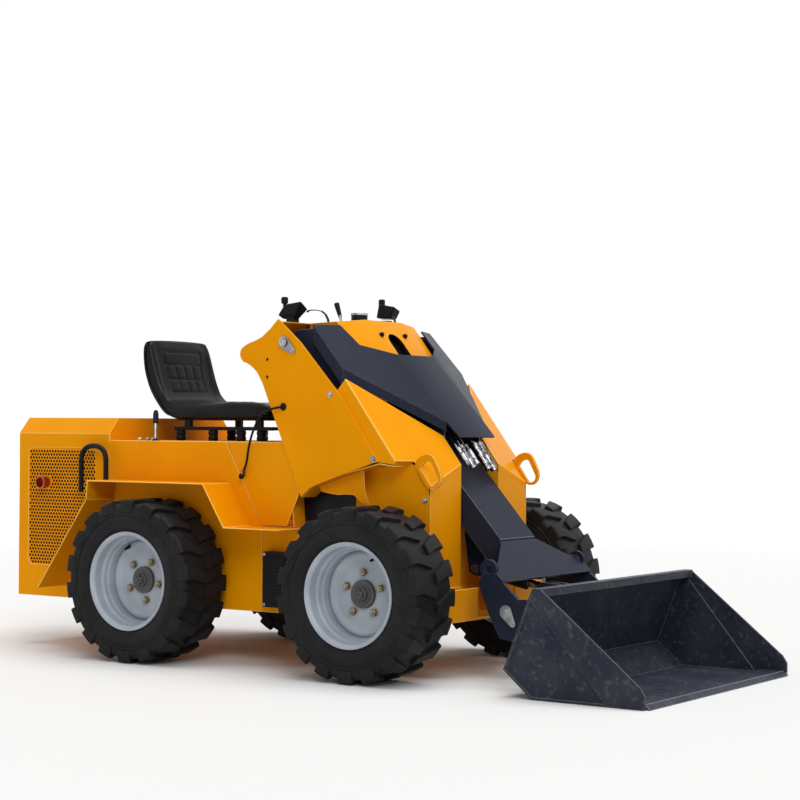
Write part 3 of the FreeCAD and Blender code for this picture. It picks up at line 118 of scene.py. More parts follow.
class Bench:
    """The workbench: each tool makes or shapes one piece with Blender's own operators."""

    @staticmethod
    def take(*pieces: Object) -> None:
        """Leave edit mode and select only these pieces."""
        if bpy.context.object and bpy.context.object.mode != "OBJECT":
            bpy.ops.object.mode_set(mode="OBJECT")
        bpy.ops.object.select_all(action="DESELECT")
        for piece in pieces:
            piece.select_set(True)
        if pieces:
            bpy.context.view_layer.objects.active = pieces[0]

    @staticmethod
    def outline(name: str, places: Ring, filled: bool) -> Object:
        """Add a ring and pull its corners to an outline.

        Args:
            name: Name of the new piece.
            places: The outline's corners.
            filled: Whether a face closes it.

        Returns:
            The new piece.
        """
        Bench.take()
        bpy.ops.mesh.primitive_circle_add(vertices=len(places), fill_type="NGON" if filled else "NOTHING")
        piece = bpy.context.object
        piece.name = name
        piece.data.name = name
        for vertex, place in zip(piece.data.vertices, places):
            vertex.co = place
        return piece

    @staticmethod
    def tidy(piece: Object, merge: float = 1e-6) -> Object:
        """Merge doubles, drop degenerate faces and turn every face outwards."""
        Bench.take(piece)
        bpy.ops.object.mode_set(mode="EDIT")
        bpy.ops.mesh.select_all(action="SELECT")
        bpy.ops.mesh.remove_doubles(threshold=merge)
        bpy.ops.mesh.dissolve_degenerate(threshold=merge)
        bpy.ops.mesh.select_all(action="SELECT")
        bpy.ops.mesh.normals_make_consistent(inside=False)
        bpy.ops.object.mode_set(mode="OBJECT")
        return piece

    @staticmethod
    def loft(name: str, rings: Sequence[Ring], capped: bool = True) -> Object:
        """Extrude a ring from section to section.

        Args:
            name: Name of the new piece.
            rings: Sections with equal numbers of corners.
            capped: Whether both ends are closed.

        Returns:
            The new piece.
        """
        piece = Bench.outline(name, rings[0], capped)
        Bench.take(piece)
        bpy.ops.object.mode_set(mode="EDIT")
        bpy.ops.mesh.select_mode(type="VERT")
        bpy.ops.mesh.select_all(action="SELECT")
        for before, after in zip(rings, rings[1:]):
            bpy.ops.mesh.extrude_region_move()
            mesh = bmesh.from_edit_mesh(piece.data)
            for vertex in mesh.verts:
                if vertex.select:
                    nearest = min(range(len(before)), key=lambda i: (before[i] - vertex.co).length_squared)
                    vertex.co = after[nearest]
            bmesh.update_edit_mesh(piece.data)
        bpy.ops.object.mode_set(mode="OBJECT")
        return Bench.tidy(piece)

    @staticmethod
    def slab(name: str, places: Ring, grow: Vector) -> Object:
        """Make a plate from an outline and its thickness as a vector."""
        return Bench.loft(name, [list(places), [place + grow for place in places]])

    @staticmethod
    def box(name: str, low: Vector, high: Vector) -> Object:
        """Make a block between two corners."""
        corners = [Vector((low.x, low.y, low.z)), Vector((high.x, low.y, low.z)),
                   Vector((high.x, high.y, low.z)), Vector((low.x, high.y, low.z))]
        return Bench.slab(name, corners, Vector((0, 0, high.z - low.z)))

    @staticmethod
    def turned(name: str, start: Vector, direction: Vector, stations: Sequence[tuple[float, float]],
               sides: int = 32, turn: float = 0.0) -> Object:
        """Make a turned part, such as a pin, nut or knob.

        Args:
            name: Name of the new piece.
            start: Where its axis begins.
            direction: The axis.
            stations: Pairs of distance along the axis and radius, in millimetres.
            sides: Corners of each section.
            turn: Angle of the first corner in radians.

        Returns:
            The new piece.
        """
        along = direction.normalized()
        rings = [circle(start + along * (d / 1000.0), along, max(r, 0.02) / 1000.0, sides, turn) for d, r in stations]
        return Bench.loft(name, rings)

    @staticmethod
    def lathe(name: str, profile: Ring, centre: Vector, axis: Vector, steps: int) -> Object:
        """Spin a closed profile one full turn.

        Args:
            name: Name of the new piece.
            profile: Corners of the closed profile.
            centre: A place on the axis.
            axis: The axis.
            steps: Sections in a turn.

        Returns:
            The new piece.
        """
        piece = Bench.outline(name, profile, False)
        Bench.take(piece)
        bpy.ops.object.mode_set(mode="EDIT")
        bpy.ops.mesh.select_all(action="SELECT")
        bpy.ops.mesh.spin(steps=steps, angle=2.0 * math.pi, center=centre, axis=axis)
        bpy.ops.object.mode_set(mode="OBJECT")
        return Bench.tidy(piece, 1e-5)

    @staticmethod
    def tube(name: str, places: Ring, radius: float, sides: int = 6, closed: bool = False) -> Object:
        """Bend a round tube along a smooth line through control places, as a mesh."""
        line = Bench.line(name, places, radius, sides, closed)
        Bench.take(line)
        bpy.ops.object.convert(target="MESH")
        return Bench.tidy(bpy.context.object)

    @staticmethod
    def line(name: str, places: Ring, radius: float, sides: int = 6, closed: bool = False) -> Object:
        """Lay a smooth curve along control places, with a round section."""
        curve = bpy.data.curves.new(name, "CURVE")
        curve.dimensions = "3D"
        curve.resolution_u = 16
        curve.bevel_depth = radius
        curve.bevel_resolution = sides
        curve.use_fill_caps = True
        spline = curve.splines.new("NURBS")
        spline.points.add(len(places) - 1)
        for point, place in zip(spline.points, places):
            point.co = (*place, 1.0)
        spline.order_u = 3
        spline.use_cyclic_u = closed
        spline.use_endpoint_u = not closed
        piece = bpy.data.objects.new(name, curve)
        bpy.context.scene.collection.objects.link(piece)
        return piece

    @staticmethod
    def bevel(piece: Object, width: float, segments: int = 2, angle: float = 30.0, material: int = -1) -> Object:
        """Round a piece's edges.

        Args:
            piece: The piece.
            width: Width of the bevel in millimetres.
            segments: Steps across it.
            angle: Smallest angle between faces that is rounded, in degrees.
            material: Which of the piece's materials the rounded edges take, -1 for their neighbours'.

        Returns:
            The same piece.
        """
        Bench.take(piece)
        change = piece.modifiers.new("round", "BEVEL")
        change.width = width / 1000.0
        change.segments = segments
        change.limit_method = "ANGLE"
        change.angle_limit = math.radians(angle)
        change.material = material
        bpy.ops.object.modifier_apply(modifier="round")
        return piece

    @staticmethod
    def shade(piece: Object, angle: float) -> Object:
        """Smooth the faces that meet under an angle, and keep the large flat ones flat."""
        Bench.take(piece)
        bpy.ops.object.shade_smooth_by_angle(angle=math.radians(angle))
        if angle < 60.0:
            change = piece.modifiers.new("flat", "WEIGHTED_NORMAL")
            change.keep_sharp = True
            bpy.ops.object.modifier_apply(modifier="flat")
        return piece

    @staticmethod
    def cut(piece: Object, cutter: Object) -> Object:
        """Take a cutter's volume out of a piece and remove the cutter."""
        Bench.take(piece)
        change = piece.modifiers.new("cut", "BOOLEAN")
        change.operation = "DIFFERENCE"
        change.solver = "EXACT"
        change.object = cutter
        bpy.ops.object.modifier_apply(modifier="cut")
        bpy.data.objects.remove(cutter)
        return piece

    @staticmethod
    def copy(piece: Object, name: str, change: Matrix) -> Object:
        """Copy a piece with its own mesh, moved by a matrix; a mirrored copy is turned right side out."""
        twin = bpy.data.objects.new(name, piece.data.copy())
        bpy.context.scene.collection.objects.link(twin)
        twin.data.transform(change)
        if change.determinant() < 0:
            twin.data.flip_normals()
        return twin

    @staticmethod
    def join(name: str, pieces: Sequence[Object]) -> Object:
        """Join pieces into one."""
        Bench.take(*pieces)
        if len(pieces) > 1:
            bpy.ops.object.join()
        pieces[0].name = name
        return pieces[0]


MIRROR = Matrix.Scale(-1.0, 4, Vector((0, 1, 0)))


class Bumps(Enum):
    """Kinds of small relief that a finish can have."""

    PEEL = "peel"
    GRAIN = "grain"
    LEATHER = "leather"
    BRUSHED = "brushed"


@dataclass(frozen=True)
class Finish:
    """A surface finish, made of procedural nodes on Object coordinates.

    Attributes:
        name: The material's name.
        slot: The record's material slot; not used.
        colour: Base colour, linear.
        shade: Colour that it drifts to in soft patches; on the bright plate these dark patches are painted reflections.
        roughness: Middle of the roughness.
        spread: How far the roughness drifts.
        metallic: 0 or 1.
        glint: Level of the reflection.
        tint: Colour of the reflection.
        bumps: Kind of relief.
        relief: Strength of the relief.
        patch: Size of the patches, as a noise scale.
        dust: Colour of fine specks or dust.
        dusty: How much dust shows, 0 to 1.
    """

    name: str
    slot: str
    colour: tuple[float, float, float]
    shade: tuple[float, float, float]
    roughness: float = 0.4
    spread: float = 0.08
    metallic: float = 0.0
    glint: float = 0.5
    tint: tuple[float, float, float] = (1.0, 1.0, 1.0)
    bumps: Bumps = Bumps.PEEL
    relief: float = 0.1
    patch: float = 5.0
    dust: tuple[float, float, float] = (0.3, 0.27, 0.23)
    dusty: float = 0.0

    def material(self) -> bpy.types.Material:
        """Make the material once and hand out the same one afterwards.

        Returns:
            The material.
        """
        found = bpy.data.materials.get(self.name)
        if found:
            return found
        material = bpy.data.materials.new(self.name)
        material.use_nodes = True
        tree = material.node_tree
        shader = tree.nodes["Principled BSDF"]
        shader.inputs["Metallic"].default_value = self.metallic
        shader.inputs["Specular IOR Level"].default_value = self.glint
        shader.inputs["Specular Tint"].default_value = (*self.tint, 1.0)
        place = tree.nodes.new("ShaderNodeTexCoord").outputs["Object"]
        patches = self._noise(tree, place, self.patch, 4.0)
        mix = self.mix(tree, self.ramp(tree, patches, 0.35, 0.68), self.shade, self.colour)
        if self.dusty > 0.0:
            specks = self.ramp(tree, self._noise(tree, place, self.patch * 9.0, 6.0), 0.52, 0.78)
            soft = tree.nodes.new("ShaderNodeMath")
            soft.operation = "MULTIPLY"
            soft.inputs[1].default_value = self.dusty
            tree.links.new(specks, soft.inputs[0])
            mix = self.mix(tree, soft.outputs[0], mix, self.dust)
        tree.links.new(mix, shader.inputs["Base Color"])
        rough = tree.nodes.new("ShaderNodeMapRange")
        rough.inputs["To Min"].default_value = self.roughness - self.spread
        rough.inputs["To Max"].default_value = self.roughness + self.spread
        tree.links.new(self._noise(tree, place, self.patch * 4.0, 5.0), rough.inputs["Value"])
        tree.links.new(rough.outputs["Result"], shader.inputs["Roughness"])
        tree.links.new(self._relief(tree, place), shader.inputs["Normal"])
        return material

    @staticmethod
    def _noise(tree: bpy.types.NodeTree, place: Any, scale: float, detail: float) -> Any:
        """Add a noise texture and return its value."""
        noise = tree.nodes.new("ShaderNodeTexNoise")
        noise.inputs["Scale"].default_value = scale
        noise.inputs["Detail"].default_value = detail
        tree.links.new(place, noise.inputs["Vector"])
        return noise.outputs["Fac"]

    @staticmethod
    def ramp(tree: bpy.types.NodeTree, value: Any, low: float, high: float) -> Any:
        """Stretch a value between two levels to the range 0 to 1."""
        ramp = tree.nodes.new("ShaderNodeMapRange")
        ramp.interpolation_type = "SMOOTHSTEP"
        ramp.inputs["From Min"].default_value = low
        ramp.inputs["From Max"].default_value = high
        tree.links.new(value, ramp.inputs["Value"])
        return ramp.outputs["Result"]

    @staticmethod
    def mix(tree: bpy.types.NodeTree, factor: Any, first: Any, second: Any) -> Any:
        """Mix two colours, each a colour or another node's output."""
        mix = tree.nodes.new("ShaderNodeMix")
        mix.data_type = "RGBA"
        tree.links.new(factor, mix.inputs["Factor"])
        for socket, colour in ((mix.inputs[6], first), (mix.inputs[7], second)):
            if isinstance(colour, tuple):
                socket.default_value = (*colour, 1.0)
            else:
                tree.links.new(colour, socket)
        return mix.outputs[2]

    def _relief(self, tree: bpy.types.NodeTree, place: Any) -> Any:
        """Add the small relief and return its normal."""
        bump = tree.nodes.new("ShaderNodeBump")
        bump.inputs["Strength"].default_value = self.relief
        if self.bumps is Bumps.LEATHER:
            cells = tree.nodes.new("ShaderNodeTexVoronoi")
            cells.inputs["Scale"].default_value = 420.0
            tree.links.new(place, cells.inputs["Vector"])
            height = cells.outputs["Distance"]
            bump.inputs["Distance"].default_value = 0.0006
        elif self.bumps is Bumps.BRUSHED:
            stretch = tree.nodes.new("ShaderNodeMapping")
            stretch.inputs["Scale"].default_value = (40.0, 900.0, 900.0)
            tree.links.new(place, stretch.inputs["Vector"])
            height = self._noise(tree, stretch.outputs["Vector"], 1.0, 2.0)
            bump.inputs["Distance"].default_value = 0.0003
        else:
            peel = self.bumps is Bumps.PEEL
            height = self._noise(tree, place, 170.0 if peel else 480.0, 2.0 if peel else 6.0)
            bump.inputs["Distance"].default_value = 0.0006 if peel else 0.0009
        tree.links.new(height, bump.inputs["Height"])
        return bump.outputs["Normal"]


ORANGE = Finish("OrangePaint", "orange_paint", (0.84, 0.32, 0.001), (0.79, 0.29, 0.001), 0.36, 0.06,
                glint=0.10, tint=(1.0, 0.55, 0.10), relief=0.10, patch=3.0)
# Lighter orange for rounded edges: a painted highlight where the edges catch the light.
ORANGE_EDGE_HIGHLIGHT = Finish("OrangeEdgeHighlight", "orange_paint", (1.0, 0.60, 0.14), (0.95, 0.54, 0.10), 0.34, 0.06,
                     tint=(1.0, 0.8, 0.4), relief=0.06, patch=3.0)
NAVY = Finish("NavyPaint", "navy_paint", (0.020, 0.025, 0.042), (0.016, 0.020, 0.035), 0.34, 0.08,
              glint=0.06, relief=0.14, patch=4.0, dust=(0.06, 0.065, 0.075), dusty=0.12)
# Pale grey-blue for rounded navy edges: a painted highlight where the edges catch the light.
NAVY_EDGE_HIGHLIGHT = Finish("NavyEdgeHighlight", "navy_paint", (0.32, 0.35, 0.40), (0.20, 0.22, 0.26), 0.40, 0.08,
                   glint=0.4, relief=0.08, patch=30.0)
WORN_NAVY = Finish("WornNavyPaint", "navy_paint", (0.036, 0.041, 0.055), (0.020, 0.024, 0.038), 0.42, 0.12,
                   glint=0.08, relief=0.20, patch=6.0, dust=(0.16, 0.155, 0.15), dusty=0.40)
RIM_PAINT = Finish("RimPaint", "rim_paint", (0.40, 0.44, 0.49), (0.33, 0.37, 0.42), 0.32, 0.07,
                   glint=0.3, relief=0.08, patch=9.0)
BLACK_PAINT = Finish("BlackPaint", "black_paint", (0.008, 0.008, 0.010), (0.005, 0.005, 0.007), 0.34, 0.07,
                     glint=0.12, relief=0.12, patch=8.0)
TYRE_RUBBER = Finish("TyreRubber", "tyre_rubber", (0.014, 0.014, 0.015), (0.009, 0.009, 0.010), 0.52, 0.10,
                     glint=0.12, bumps=Bumps.GRAIN, relief=0.30, patch=7.0, dust=(0.05, 0.048, 0.045), dusty=0.20)
VINYL = Finish("SeatVinyl", "seat_vinyl", (0.008, 0.008, 0.009), (0.005, 0.005, 0.006), 0.30, 0.06,
               glint=0.14, bumps=Bumps.LEATHER, relief=0.16, patch=10.0)
PLASTIC = Finish("BlackPlastic", "black_plastic", (0.009, 0.0095, 0.012), (0.006, 0.0065, 0.008), 0.40, 0.08,
                 glint=0.12, bumps=Bumps.GRAIN, relief=0.10, patch=12.0)
CABLE = Finish("CableSheath", "cord_rubber", (0.006, 0.006, 0.007), (0.004, 0.004, 0.005), 0.36, 0.05,
               glint=0.12, bumps=Bumps.GRAIN, relief=0.06, patch=30.0)
# Bright plate: the darker base and the dark patches stand in for dark reflections in the chrome, painted reflection.
CHROME = Finish("BrightPlate", "chrome", (0.46, 0.46, 0.48), (0.05, 0.05, 0.055), 0.16, 0.08, metallic=1.0,
                bumps=Bumps.GRAIN, relief=0.03, patch=55.0)
STEEL = Finish("ZincedSteel", "steel", (0.46, 0.46, 0.47), (0.26, 0.26, 0.28), 0.34, 0.08, metallic=1.0,
               bumps=Bumps.GRAIN, relief=0.06, patch=30.0)
YELLOW_ZINC = Finish("YellowZinc", "steel", (0.34, 0.28, 0.18), (0.20, 0.18, 0.15), 0.30, 0.10, metallic=1.0,
                     bumps=Bumps.GRAIN, relief=0.08, patch=90.0)
COPPER = Finish("ExhaustCopper", "exhaust_metal", (0.50, 0.15, 0.08), (0.38, 0.10, 0.06), 0.34, 0.08, metallic=1.0,
                bumps=Bumps.GRAIN, relief=0.08, patch=40.0)
IRON = Finish("CastIron", "iron", (0.075, 0.072, 0.070), (0.045, 0.044, 0.044), 0.55, 0.10, metallic=0.0,
              bumps=Bumps.GRAIN, relief=0.30, patch=20.0, dust=(0.20, 0.15, 0.11), dusty=0.25)

# Each paint's lighter edge finish, a painted highlight on the rounded edges.
EDGE_HIGHLIGHTS = {ORANGE.name: ORANGE_EDGE_HIGHLIGHT, NAVY.name: NAVY_EDGE_HIGHLIGHT, WORN_NAVY.name: NAVY_EDGE_HIGHLIGHT}


@dataclass
class Yard:
    """What every sub-assembly needs to place a piece on the machine.

    Attributes:
        frame: The loaded frame.
        bodies: Body of each node.
    """

    frame: Frame
    bodies: dict[str, str] = field(default_factory=dict)

    def __post_init__(self) -> None:
        """Look up the body of every node in the record."""
        for body, nodes in self.frame["record"]["behaviour"]["bodies"].items():
            for node in nodes:
                self.bodies[node] = body

    def seat(self, piece: Object, finish: Finish, body: str, *nodes: str, smooth: float = 32.0) -> Object:
        """Give a piece its finish and its body, and let it stand for nodes.

        Args:
            piece: The piece.
            finish: Its finish.
            body: The body that it rides on.
            *nodes: The nodes that it replaces.
            smooth: Angle under which its faces look smooth, in degrees.

        Returns:
            The same piece.
        """
        if piece.type == "MESH":
            Bench.shade(piece, smooth)
        if not piece.data.materials:
            piece.data.materials.append(finish.material())
        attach(piece, body)
        if nodes:
            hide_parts(*nodes)
        size = len(piece.data.polygons) if piece.type == "MESH" else 0
        log.info("%-22s on %-18s %6d faces", piece.name, body, size)
        return piece

    @staticmethod
    def edged(piece: Object, finish: Finish, width: float, segments: int = 2) -> Object:
        """Round a sheet's edges and paint them with a lighter finish, a painted highlight along the edges.

        Args:
            piece: The sheet.
            finish: Its finish.
            width: Width of the rounded edges in millimetres, 0 for none.
            segments: Steps across them.

        Returns:
            The same piece.
        """
        piece.data.materials.clear()
        piece.data.materials.append(finish.material())
        # The lighter edge finish is a painted highlight on the rounded edges.
        bright = EDGE_HIGHLIGHTS.get(finish.name)
        if bright:
            piece.data.materials.append(bright.material())
        if width > 0.0:
            Bench.bevel(piece, width, segments, material=1 if bright else -1)
        return piece

    def dressed(self, node: str, name: str, finish: Finish, width: float, segments: int = 2) -> Object:
        """Copy a node's mesh, merge it into clean faces, round its edges and let the copy stand for it.

        Args:
            node: The node.
            name: Name of the piece.
            finish: Its finish.
            width: Width of the rounded edges in millimetres, 0 for none.
            segments: Steps across them.

        Returns:
            The new piece.
        """
        source = self.frame["nodes"][node]
        piece = bpy.data.objects.new(name, source.data.copy())
        bpy.context.scene.collection.objects.link(piece)
        Bench.take(piece)
        bpy.ops.object.mode_set(mode="EDIT")
        bpy.ops.mesh.select_all(action="SELECT")
        bpy.ops.mesh.remove_doubles(threshold=0.00002)
        bpy.ops.mesh.dissolve_limited(angle_limit=math.radians(1.0))
        bpy.ops.object.mode_set(mode="OBJECT")
        return self.seat(self.edged(piece, finish, width, segments), finish, self.bodies[node], node)


@dataclass
class SheetWork:
    """Sheet metal and other rigid parts whose solids have the right shape.

    Attributes:
        parts: Node, piece name, finish and width of its rounded edges in millimetres.
    """

    parts: tuple[tuple[str, str, Finish, float], ...] = (
        ("lower_frame", "LowerFrame", ORANGE, 1.8), ("engine_side_panels", "EngineSidePanels", ORANGE, 1.8),
        ("deck_side_panels", "DeckSidePanels", ORANGE, 1.8), ("tail_panel", "TailPanel", ORANGE, 1.2),
        ("engine_hood", "EngineHood", ORANGE, 3.0), ("operator_deck", "OperatorDeck", ORANGE, 1.6),
        ("fenders", "Fenders", ORANGE, 1.8), ("tower_side_plates", "TowerSidePlates", ORANGE, 1.8),
        ("tower_shoulders", "TowerShoulders", ORANGE, 2.2), ("tower_legs", "TowerLegs", ORANGE, 1.8),
        ("front_arches", "FrontArches", ORANGE, 1.8), ("side_aprons", "SideAprons", ORANGE, 1.8),
        ("tower_bulkhead", "TowerBulkhead", ORANGE, 1.0),
        ("front_sill", "FrontSill", ORANGE, 1.8), ("boom_frame", "BoomFrame", NAVY, 2.0), ("boom_head", "BoomHead", NAVY, 2.0),
        ("boom_cover", "BoomCover", NAVY, 2.4), ("bucket", "BucketShell", WORN_NAVY, 1.6),
        ("attach_frame", "AttachFrame", NAVY, 1.6), ("cutting_edge", "CuttingEdge", WORN_NAVY, 1.0),
        ("lift_barrels", "LiftBarrels", BLACK_PAINT, 1.5), ("lift_rods", "LiftRods", CHROME, 1.0),
        ("tilt_barrel", "TiltBarrel", BLACK_PAINT, 1.5), ("tilt_rod", "TiltRod", CHROME, 1.0),
        ("boom_pivot_pins", "BoomPivotPins", STEEL, 1.0), ("bucket_hinge_pins", "BucketHingePins", STEEL, 1.0),
        ("lift_brackets", "LiftBrackets", BLACK_PAINT, 1.0), ("tilt_pin", "TiltPin", STEEL, 0.8),
        ("wheel_motors", "WheelMotors", IRON, 1.2), ("engine", "EngineBlock", IRON, 3.0),
    )
    fills: tuple[tuple[str, Finish, float, float, tuple[tuple[float, float], ...]], ...] = (
        ("TowerSideFills", ORANGE, 376, 380,
         ((-186, 938), (-154, 974), (48, 704), (44, 696), (-16, 703), (-40, 700), (-200, 925))),
        # InnerWalls are black as painted shade: these walls under the arches are orange, in deep shadow.
        ("InnerWalls", BLACK_PAINT, 297, 303, ((-402, 480), (-160, 480), (-160, 640), (-250, 690), (-402, 700))),
        # GrilleBacks: black sheets behind the grilles' holes, painted shade of the dark space behind them.
        ("GrilleBacks", BLACK_PAINT, 322, 325, ((-1650, 291), (-1420, 291), (-1294, 463), (-1294, 744), (-1650, 744))),
        ("ArchGussets", ORANGE, 341, 345,
         ((-282, 617), (-279.5, 608), (-273, 600), (-247, 596), (-209, 591), (-172, 593), (-143, 592), (-125, 581),
          (-115, 569), (-81, 567), (-90, 590), (-97, 612), (-100, 674), (-161, 658), (-256, 626))),
    )
    loop: tuple[tuple[float, float], ...] = (
        (83, 704), (90, 715), (97, 720), (105, 725), (113, 728), (123, 731), (133, 731), (142, 729), (149, 725),
        (155, 719), (160, 712), (175, 684), (183, 664), (184, 648), (180, 635), (170, 624), (158, 618), (143, 618),
        (132, 623), (122, 633), (98, 669), (84, 690),
    )
    eye: tuple[tuple[float, float], ...] = (
        (108, 693), (112, 698), (118, 702), (125, 705), (133, 706), (139, 705), (144, 702), (149, 693), (170, 652),
        (171, 645), (169, 638), (164, 632), (156, 628), (149, 627), (143, 629), (104, 683), (105, 688),
    )

    def build(self, yard: Yard) -> None:
        """Dress every part of the table, then add the sheets between them."""
        for node, name, finish, width in self.parts:
            yard.dressed(node, name, finish, width)
        loops, lips = [], []
        for side in (-1.0, 1.0):
            ring = Bench.slab("Loop", [spot(x, side * 303, z) for x, z in self.loop], Vector((0, side * 0.012, 0)))
            Bench.cut(ring, Bench.slab("Eye", [spot(x, side * 290, z) for x, z in self.eye], Vector((0, side * 0.04, 0))))
            loops.append(yard.edged(ring, ORANGE, 1.5))
            corners = ((46, 380, 704), (69, 303, 703), (43, 303, 690), (43, 380, 690))
            lip = [spot(x, side * y, z) for x, y, z in corners]
            lips.append(yard.edged(Bench.slab("ShoulderLips", lip, Vector((-0.002, 0, -0.002))), ORANGE, 0.0))
        yard.seat(Bench.join("LiftLoops", loops), ORANGE, "machine", "lift_loops")
        yard.seat(Bench.join("ShoulderLips", lips), ORANGE, "machine")
        for name, finish, low, high, outline in self.fills:
            pair = []
            for side in (-1.0, 1.0):
                places = [spot(x, side * low, z) for x, z in outline]
                pair.append(yard.edged(Bench.slab(name, places, Vector((0, side * (high - low) / 1000.0, 0))), finish, 1.0))
            yard.seat(Bench.join(name, pair), finish, "machine")
        noses = []
        for side in (-1.0, 1.0):
            places = [spot(129.5, side * y, z) for y, z in ((118, 695.5), (303, 625.5), (303, 595.5), (118, 665.5))]
            noses.append(yard.edged(Bench.slab("FoldNoses", places, Vector((0.0059, 0, 0))), ORANGE, 0.8))
        yard.seat(Bench.join("FoldNoses", noses), ORANGE, "machine")


@dataclass
class Console:
    """Dash plate across the tower, and the folded cover in front of it with its slot.

    Attributes:
        dash: Section of the dash plate: ahead, up, in millimetres.
        folds: Rows of the cover's corners from its flange to the middle, each back, top and low.
        inner: How far the sheet's inner face lies from each of those corners.
        slot: From the top fold to the slot's end, its half width and its reach.
    """

    dash: tuple[tuple[float, float], ...] = (
        (-506, 1108), (-432, 1172), (-422, 1173), (-422, 1169), (-431, 1168), (-503, 1105),
    )
    folds: tuple[tuple[tuple[float, float, float], ...], ...] = (
        ((-422, -216, 1112), (-300, -231, 1104), (-224, -227, 1058)),
        ((-422, -219, 1173), (-297, -234, 1176), (-216, -230, 1076)),
        ((-422, -109, 1175), (-269, -109, 1187), (-150, -109, 1038)),
    )
    inner: tuple[tuple[tuple[float, float, float], ...], ...] = (
        ((0, 3, 0), (0, 3, 0), (0, 3, 0)),
        ((0, 3, -3), (-1.5, 3, -2.6), (-2.3, 3, -2)),
        ((0, 0, -3), (-1.2, 0, -3.3), (-2.3, 0, -1.9)),
    )
    slot: tuple[float, float, float] = (57.6, 40.0, 240.0)

    def build(self, yard: Yard) -> None:
        """Fold the cover, cut its slot, and add the dash plate, two bolts and a black plate behind the slot as painted
        shade.
        """
        rows = list(zip(self.folds, self.inner))
        rows += [(tuple((x, -y, z) for x, y, z in fold), tuple((x, -y, z) for x, y, z in move))
                 for fold, move in reversed(rows)]
        rings = []
        for fold, move in rows:
            under = [(x + a, y + b, z + c) for (x, y, z), (a, b, c) in zip(fold, move)]
            rings.append([spot(*place) for place in (*fold, *reversed(under))])
        cover = Bench.loft("Console", rings)
        down, out = Vector((0.624, 0, -0.781)), Vector((0.781, 0, 0.624))
        top, (start, half, reach) = spot(-269, 0, 1187), self.slot
        turns = [math.radians(180 - 15 * k) for k in range(13)]
        ring = [(half * math.cos(a), start + half - half * math.sin(a)) for a in turns] + [(half, reach), (-half, reach)]
        places = [top + down * (s / 1000.0) + Vector((0, y / 1000.0, 0)) - out * 0.02 for y, s in ring]
        Bench.cut(cover, Bench.slab("Slot", places, out * 0.04))
        dash = Bench.slab("Dash", [spot(x, -380, z) for x, z in self.dash], Vector((0, 0.76, 0)))
        pair = [yard.edged(piece, ORANGE, 0.9) for piece in (cover, dash)]
        yard.seat(Bench.join("Console", pair), ORANGE, "machine", "console")
        bolts = []
        for side in (-71.0, 71.0):
            place = spot(-223, side, 1137) - out * 0.004
            bolts.append(Bench.bevel(Bench.turned("Bolt", place, out, ((0, 9), (6, 9), (6, 6.5), (10, 6.5), (11, 5))), 0.4))
        yard.seat(Bench.join("ConsoleBolts", bolts), BLACK_PAINT, "machine")
        # Black plate behind the slot: painted shade of the space behind it.
        back = [spot(-300, -72, 1182), spot(-196, -72, 1052), spot(-196, 72, 1052), spot(-300, 72, 1182)]
        yard.seat(Bench.slab("ConsoleSlotShade", back, -out * 0.004), BLACK_PAINT, "machine")


@dataclass
class Cable:
    """Control cable from the tower's hole to its plug on the body's seam.

    Attributes:
        route: Control places: ahead of the front axle, to the left, up, in millimetres.
        radius: Radius of the sheath in millimetres.
        length: Its length in metres; not used.
    """

    route: tuple[tuple[float, float, float], ...] = (
        (-404, -372, 884), (-405, -405, 884), (-470, -416, 868), (-519, -406, 808), (-555, -388, 742),
        (-570, -376, 692), (-588, -369, 668),
    )
    radius: float = 4.0
    length: float = 0.335

    def build(self, yard: Yard) -> None:
        """Lay the cable, its plug and the grommet round its hole."""
        places = [spot(*place) for place in self.route]
        cable = Bench.line("ControlCable", places, self.radius / 1000.0, 5)
        end, along = places[-1], (places[-1] - places[-2]).normalized()
        collars = [
            Bench.bevel(Bench.turned("PlugCollars", end, along, ((0, 6.5), (7, 6.5)), 6), 0.6),
            Bench.bevel(Bench.turned("PlugCollar2", end + along * 0.007, along,
                                     ((0, 5.2), (3, 5.2), (3, 7.5), (10, 7.5), (10, 6.2), (12, 6.2))), 0.5),
        ]
        collars = Bench.join("PlugCollars", collars)
        body = Bench.bevel(Bench.turned("PlugBody", end + along * 0.018, along,
                                        ((0, 6), (2, 9), (12, 9.5), (17, 8), (19, 5))), 0.8)
        yard.seat(cable, CABLE, "machine", "control_cord")
        yard.seat(body, PLASTIC, "machine", "cord_plug")
        yard.seat(collars, CHROME, "machine")
        hole = spot(-404, -388, 884)
        out = Vector((0, -1, 0))
        grommet = Bench.turned("CableGrommet", hole - out * 0.004, out, ((0, 10.5), (5, 10.5), (5, 13.5), (7, 12.5), (7, 7)))
        yard.seat(Bench.bevel(grommet, 0.6), PLASTIC, "machine")


